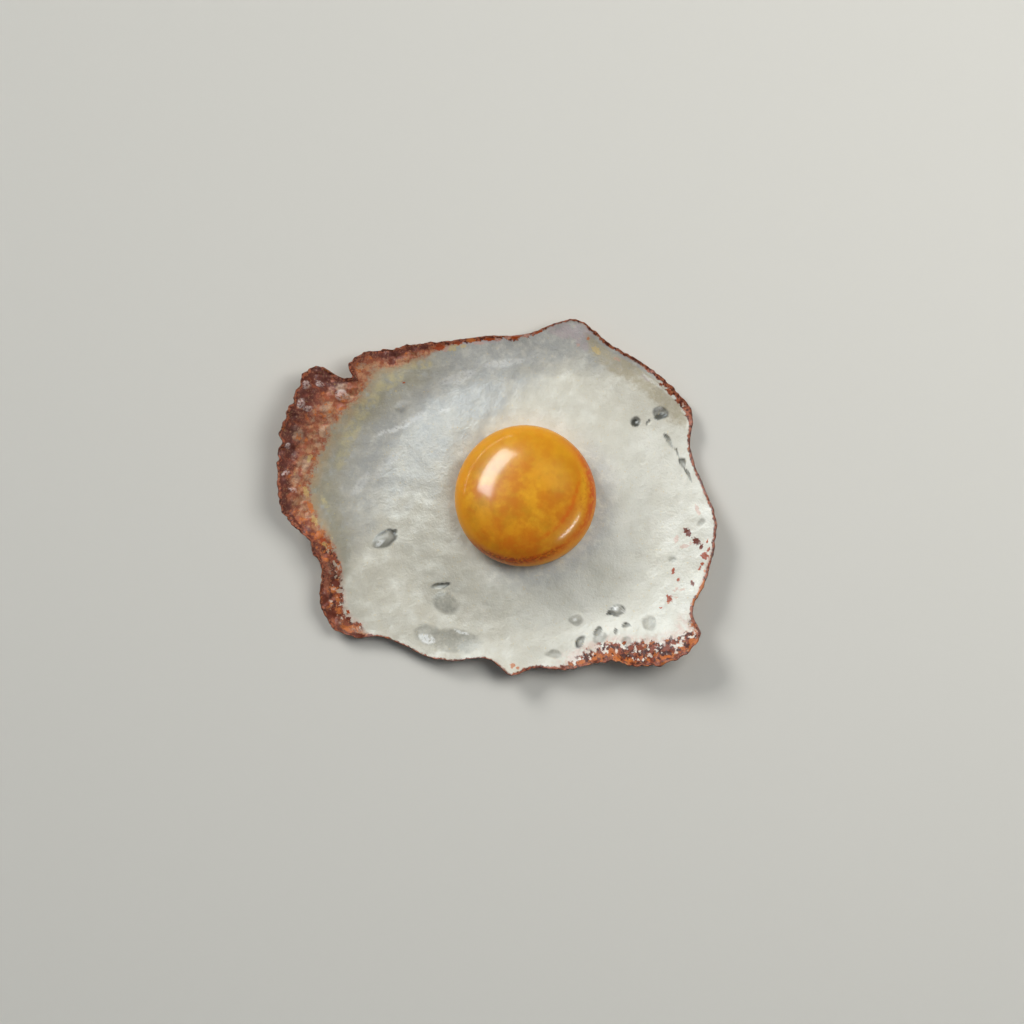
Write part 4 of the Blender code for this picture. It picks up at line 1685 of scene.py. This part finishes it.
    def _under_height(self, from_rim: Array, lift: Array) -> Array:
        """Gives the underside's height: flat in the middle, and curled at the rim.

        Args:
            from_rim: The places' distances in from the rim.
            lift: The rim's lift round them.

        Returns:
            The heights.
        """
        curl = self.curl_base_width + self.curl_width_per_lift * lift
        return lift * np.clip(1.0 - from_rim / curl, 0.0, 1.0) ** 2

    def _top_height(self, places: Array, from_rim: Array, lift: Array, crust: Array) -> Array:
        """Gives the top's height, from the thin rim up to the mound at the yolk.

        Args:
            places: The places' x and y.
            from_rim: Their distances in from the rim.
            lift: The rim's lift round them.
            crust: The crust's width round them.

        Returns:
            The heights.
        """
        x, y = places.T
        from_yolk = np.hypot(x - YOLK_CENTRE[0], y - YOLK_CENTRE[1])
        sheet = rise(from_rim, 0.0, self.taper_width) * (self.sheet_thickness - self.rim_thickness)
        height = self._under_height(from_rim, lift) + self.rim_thickness + sheet
        height += self.mound_height * rise(from_yolk, self.mound_end_radius, self.mound_full_radius)
        clear = rise(from_yolk, self._lip_radius(), self._lip_radius() + self.clear_width)
        height += self.swell_height * ripple(x, y, self.swell_length, Wave.SWELL) * clear
        height += self.skin_relief * ripple(x, y, self.skin_length, Wave.SKIN) * clear
        height += self._crust_relief(x, y, from_rim, crust)
        for mark in MARKS:
            height += mark.relief * np.clip(mark.closeness(x, y), 0.0, 1.0) ** self.mark_fall
        return height

    def _crust_relief(self, x: Array, y: Array, from_rim: Array, crust: Array) -> Array:
        """Gives the crust's relief: waves, and bubbles large and small.

        Args:
            x: The places' x.
            y: The places' y.
            from_rim: Their distances in from the rim.
            crust: The crust's width round them.

        Returns:
            How far the relief stands up.
        """
        browned = rise(crust - from_rim, 0.0, self.browning_width)
        relief = self.crust_relief * ripple(x, y, self.crust_wave_length, Wave.CRUST)
        near = browned > 0.0
        if near.any():
            large = bubbles(x[near], y[near], self.large_bubble, Wave.LARGE_BUBBLE) - 0.5
            small = bubbles(x[near], y[near], self.small_bubble, Wave.SMALL_BUBBLE) - 0.5
            relief[near] += self.large_relief * large + self.small_relief * small
        return relief * browned

    def _shade(
        self, mesh: bpy.types.Mesh, placed: Array, face: Array, from_rim: Array, crust: Array
    ) -> None:
        """Marks where the white is browned, thin, pitted or flecked, and where it carries painted
        shade and painted highlights.

        Args:
            mesh: The white's mesh.
            placed: Its points, in millimetres.
            face: The face that each point belongs to.
            from_rim: Their distances in from the rim.
            crust: The crust's width round them.
        """
        x, y = placed[:, 0], placed[:, 1]
        away = (x - YOLK_CENTRE[0], y - YOLK_CENTRE[1])
        from_yolk = np.hypot(*away)
        bearing = np.degrees(np.arctan2(away[1], away[0])) % 360.0
        set_attribute(mesh, "from_rim", from_rim)
        set_attribute(mesh, "under", face == Face.UNDER)
        self._shade_crust(mesh, x, y, from_rim, crust)
        self._shade_edge(mesh, x, y, bearing, from_rim)
        self._shade_thin_white(mesh, bearing, from_rim, crust)
        # Painted shade, darker towards the left and the top.
        left_top_shade = np.maximum(rise(x, *LEFT_SHADE_X), 0.75 * rise(y, *TOP_SHADE_Y))
        set_attribute(mesh, "left_top_shade", 0.95 * left_top_shade)
        # Painted shadow of the yolk on the white towards its low right, and a bluish grey patch above
        # the yolk.
        lee = rise(np.cos(np.radians(bearing - LEE_BEARING)), -0.1, 0.6) * rise(from_yolk, *LEE_REACH)
        from_patch = np.hypot(x - PATCH_CENTRE[0], PATCH_FLATNESS * (y - PATCH_CENTRE[1]))
        lee_shadow_and_patch = np.maximum(0.5 * lee, 0.55 * rise(from_patch, *PATCH_REACH))
        set_attribute(mesh, "lee_shadow_and_patch", lee_shadow_and_patch)
        top = face == Face.TOP
        self._shade_marks(mesh, x, y, top)
        self._shade_flecks(mesh, x, y, top)

    def _shade_crust(
        self, mesh: bpy.types.Mesh, x: Array, y: Array, from_rim: Array, crust: Array
    ) -> None:
        """Marks the crust, its lace at the low right and low left, and the toasted white beside it.

        Args:
            mesh: The white's mesh.
            x: Its points' x.
            y: Its points' y.
            from_rim: Their distances in from the rim.
            crust: The crust's width round them.
        """
        inside = from_rim - crust
        set_attribute(mesh, "crust", crust * rise(crust, 0.4, 2.6))
        set_attribute(mesh, "depth", from_rim / np.maximum(crust, 0.6))
        set_attribute(mesh, "sway", np.minimum(1.4, 0.16 + 0.16 * crust))
        laced = LACE_CORNER.share(x, y)
        combed = 0.9 * COMBED_CORNER.share(x, y) * rise(from_rim, 1.6, 3.2)
        lace = laced * rise(inside, 4.4, 2.2) + combed * rise(inside, 2.56, 0.96)
        set_attribute(mesh, "lace", lace)
        toast = rise(crust, 1.5, 5.5) * rise(inside, 1.0 + 0.35 * crust, 0.0)
        set_attribute(mesh, "toast", 0.75 * toast * (1.0 - np.maximum(laced, 0.7 * combed)))

    def _shade_edge(
        self, mesh: bpy.types.Mesh, x: Array, y: Array, bearing: Array, from_rim: Array
    ) -> None:
        """Marks where the rim's line is worn, bold or glowing orange.

        Args:
            mesh: The white's mesh.
            x: Its points' x.
            y: Its points' y.
            bearing: Their bearings from the yolk, in degrees.
            from_rim: Their distances in from the rim.
        """
        worn = (bearing > 215.0) * (bearing < 266.0) + 0.6 * (bearing > 70.0) * (bearing < 118.0)
        set_attribute(mesh, "worn", worn)
        bold = BOLD_RIGHT.share(bearing) + 0.8 * BOLD_ABOVE.share(bearing)
        set_attribute(mesh, "bold", bold)
        flank = FLANK_CORNER.share(x, y) * rise(y, *FLANK_FOOT)
        low_right = 0.1 * EMBER_CORNER.share(x, y) + 0.2 * flank
        ember = 0.05 * EMBER_LEFT.share(bearing) + low_right * rise(from_rim, 4.0, 1.4)
        set_attribute(mesh, "ember", ember)

    def _shade_thin_white(
        self, mesh: bpy.types.Mesh, bearing: Array, from_rim: Array, crust: Array
    ) -> None:
        """Marks the thin grey white behind the crust, and the tan band in the top rim, both with
        painted shade.

        Args:
            mesh: The white's mesh.
            bearing: Its points' bearings from the yolk, in degrees.
            from_rim: Their distances in from the rim.
            crust: The crust's width round them.
        """
        inside, wide = from_rim - crust, rise(crust, 1.5, 5.5)
        # Painted shade on the curled rim's inner slope, as well as the thin white's grey.
        reach = np.interp(bearing, GREY_BEARINGS, GREY_REACHES)
        greyness = (reach - from_rim) / (0.65 * reach + 1.0)
        set_attribute(mesh, "thin_and_shade_zone", np.clip(greyness, -0.6, 1.4))
        grey = smoothstep(greyness) * wide
        set_attribute(mesh, "olive_zone", 0.9 * grey * rise(inside, 12.0, 3.0))
        set_attribute(mesh, "slate_zone", 0.7 * grey * rise(inside, 8.0, 4.0))
        # Painted shade, in tan, inside the top right rim.
        reach = np.interp(bearing, TAN_BEARINGS, TAN_REACHES)
        set_attribute(mesh, "tan_shade_zone", np.clip(reach - from_rim, -3.0, 3.0))

    def _shade_marks(self, mesh: bpy.types.Mesh, x: Array, y: Array, top: Array) -> None:
        """Marks the pits, the thin patches and the crust's bubbles.

        Args:
            mesh: The white's mesh.
            x: Its points' x.
            y: Its points' y.
            top: Whether each point is on the top.
        """
        shares = {stain.layer: np.zeros(len(x)) for stain in STAINS}
        stray_x = self.mark_stray * ripple(x, y, self.mark_stray_length, Wave.STRAY_ALONG_X)
        stray_y = self.mark_stray * ripple(x, y, self.mark_stray_length, Wave.STRAY_ALONG_Y)
        x, y = x + stray_x, y + stray_y
        for mark in MARKS:
            inside = smoothstep(mark.closeness(x, y) * 1.6 + 0.25) * top
            edge = mark.edge(x, y) * top
            for stain in STAINS:
                if mark.kind is stain.kind:
                    share = stain.share(mark.strength, inside, edge)
                    shares[stain.layer] = np.maximum(shares[stain.layer], share)
        for name, share in shares.items():
            set_attribute(mesh, name, share)

    def _shade_flecks(self, mesh: bpy.types.Mesh, x: Array, y: Array, top: Array) -> None:
        """Marks the browned flecks.

        Args:
            mesh: The white's mesh.
            x: Its points' x.
            y: Its points' y.
            top: Whether each point is on the top.
        """
        fleck, tone = np.zeros(len(x)), np.zeros(len(x))
        for spot in FLECKS:
            share = np.clip(spot.closeness(x, y, self.fleck_spread), 0.0, 1.0) * top
            tone = np.where(share > fleck, spot.tone.value, tone)
            fleck = np.maximum(fleck, share)
        set_attribute(mesh, "fleck", fleck)
        set_attribute(mesh, "tone", tone)


def raised(places: Array, height: object) -> Array:
    """Gives places their height.

    Args:
        places: Their x and y.
        height: One height for all, or one for each.

    Returns:
        Their x, y and z.
    """
    return np.column_stack([places, np.broadcast_to(height, len(places))])


def outward(path: Array) -> Array:
    """Gives the unit normals of a counter-clockwise closed path, in plan."""
    along = np.roll(path, -1, axis=0) - np.roll(path, 1, axis=0)
    along /= np.linalg.norm(along, axis=1)[:, None]
    return np.stack([along[:, 1], -along[:, 0]], axis=1)


class Glow(Enum):
    """What a lamp is for."""

    SHAPE = "it lights the egg but isn't mirrored in it"
    GLOSS = "it is only mirrored in the egg"


@dataclass(frozen=True)
class Lamp:
    """A rectangular lamp that faces the egg.

    Attributes:
        name: The lamp's name.
        glow: What it is for.
        size: Its width and height, in metres.
        power: Its power in watts.
        azimuth: Its bearing from the egg, counter-clockwise from +X, in degrees.
        elevation: How high it stands above the horizon, in degrees.
        distance: How far away it is, in metres.
        tint: Its colour.
        roll: How far it is turned about the line to the egg, in degrees.
    """

    name: str
    glow: Glow
    size: tuple[float, float]
    power: float
    azimuth: float
    elevation: float
    distance: float
    tint: Colour = (1.0, 1.0, 1.0)
    roll: float = 0.0

    def hang(self) -> None:
        """Hangs the lamp."""
        data = bpy.data.lights.new(self.name, "AREA")
        data.shape = "RECTANGLE"
        data.size, data.size_y = self.size
        data.energy = self.power
        data.color = self.tint
        light = bpy.data.objects.new(self.name, data)
        turn, climb = math.radians(self.azimuth), math.radians(self.elevation)
        flat = math.cos(climb)
        out = Vector((math.cos(turn) * flat, math.sin(turn) * flat, math.sin(climb)))
        facing = out.to_track_quat("Z", "Y").to_matrix().to_4x4()
        rolled = facing @ Matrix.Rotation(math.radians(self.roll), 4, "Z")
        light.matrix_world = Matrix.Translation(out * self.distance) @ rolled
        light.visible_glossy = self.glow is Glow.GLOSS
        light.visible_diffuse = self.glow is Glow.SHAPE
        bpy.context.scene.collection.objects.link(light)


LAMPS = (
    Lamp("key", Glow.SHAPE, (0.95, 0.7), 37.5, 130.0, 32.5, 2.4, (1.0, 0.985, 0.96)),
    Lamp("fill", Glow.SHAPE, (0.4, 0.4), 2.8, 30.0, 56.0, 0.7, (1.0, 0.985, 0.955)),
    Lamp("window", Glow.GLOSS, (0.8, 0.4), 39.0, 138.0, 51.0, 1.0, (0.84, 0.95, 1.0), 16.0),
    Lamp("low_window", Glow.GLOSS, (1.6, 0.05), 3.0, 137.0, 9.0, 1.0, (0.85, 0.95, 1.0)),
    Lamp("strip", Glow.GLOSS, (0.3, 0.022), 2.0, -33.5, 28.0, 0.6, (1.0, 1.0, 1.0), -12.0),
)


@dataclass
class Studio:
    """The floor, the lights and the camera, which looks straight down.

    Attributes:
        picture_width: How much of the floor the picture spans, in metres.
        aim: The point on the floor in the middle of the picture.
        lens: The camera's focal length, in millimetres.
        sensor: The camera's sensor width, in millimetres.
        floor_size: How wide the floor is.
        room_tint: The colour of the room's soft light.
        room_strength: How strong the room's soft light is.
        farthest: How far the camera sees.
    """

    picture_width: float = 0.28672
    aim: tuple[float, float] = (0.0042, -0.0041)
    lens: float = 180.0
    sensor: float = 36.0
    floor_size: float = 3.0
    room_tint: Colour = (0.86, 0.93, 1.0)
    room_strength: float = 0.14
    farthest: float = 20.0

    def build(self) -> None:
        """Sets the whole studio up."""
        scene = bpy.context.scene
        scene.view_settings.view_transform = "Standard"
        self._floor()
        self._world()
        for lamp in LAMPS:
            lamp.hang()
        self._camera()

    def _floor(self) -> None:
        """Lays the plain pale floor."""
        sheet = bmesh.new()
        bmesh.ops.create_grid(sheet, x_segments=1, y_segments=1, size=self.floor_size / 2)
        mesh = bpy.data.meshes.new("floor")
        sheet.to_mesh(mesh)
        sheet.free()
        mesh.materials.append(FloorFinish().make())
        floor = bpy.data.objects.new("floor", mesh)
        bpy.context.scene.collection.objects.link(floor)

    def _world(self) -> None:
        """Fills the room with soft light."""
        world = bpy.data.worlds.new("soft_room")
        world.use_nodes = True
        backdrop = world.node_tree.nodes["Background"]
        backdrop.inputs["Color"].default_value = (*self.room_tint, 1.0)
        backdrop.inputs["Strength"].default_value = self.room_strength
        bpy.context.scene.world = world

    def _camera(self) -> None:
        """Sets the camera straight above, as far as the picture's width asks."""
        data = bpy.data.cameras.new("camera")
        data.lens = self.lens
        data.sensor_width = self.sensor
        data.clip_end = self.farthest
        camera = bpy.data.objects.new("camera", data)
        height = self.picture_width * self.lens / self.sensor
        camera.location = (*self.aim, height)
        bpy.context.scene.collection.objects.link(camera)
        bpy.context.scene.camera = camera


def main() -> None:
    """Sets up the studio and builds the egg, piece by piece."""
    logging.basicConfig(level=logging.INFO, format="%(message)s")
    Studio().build()
    yolk = Yolk()
    white = EggWhite(Rim(), yolk)
    for part in (yolk, white):
        piece = part.build()
        logging.info("%s: %d faces", piece.name, len(piece.data.polygons))


if __name__ == "__main__":
    main()
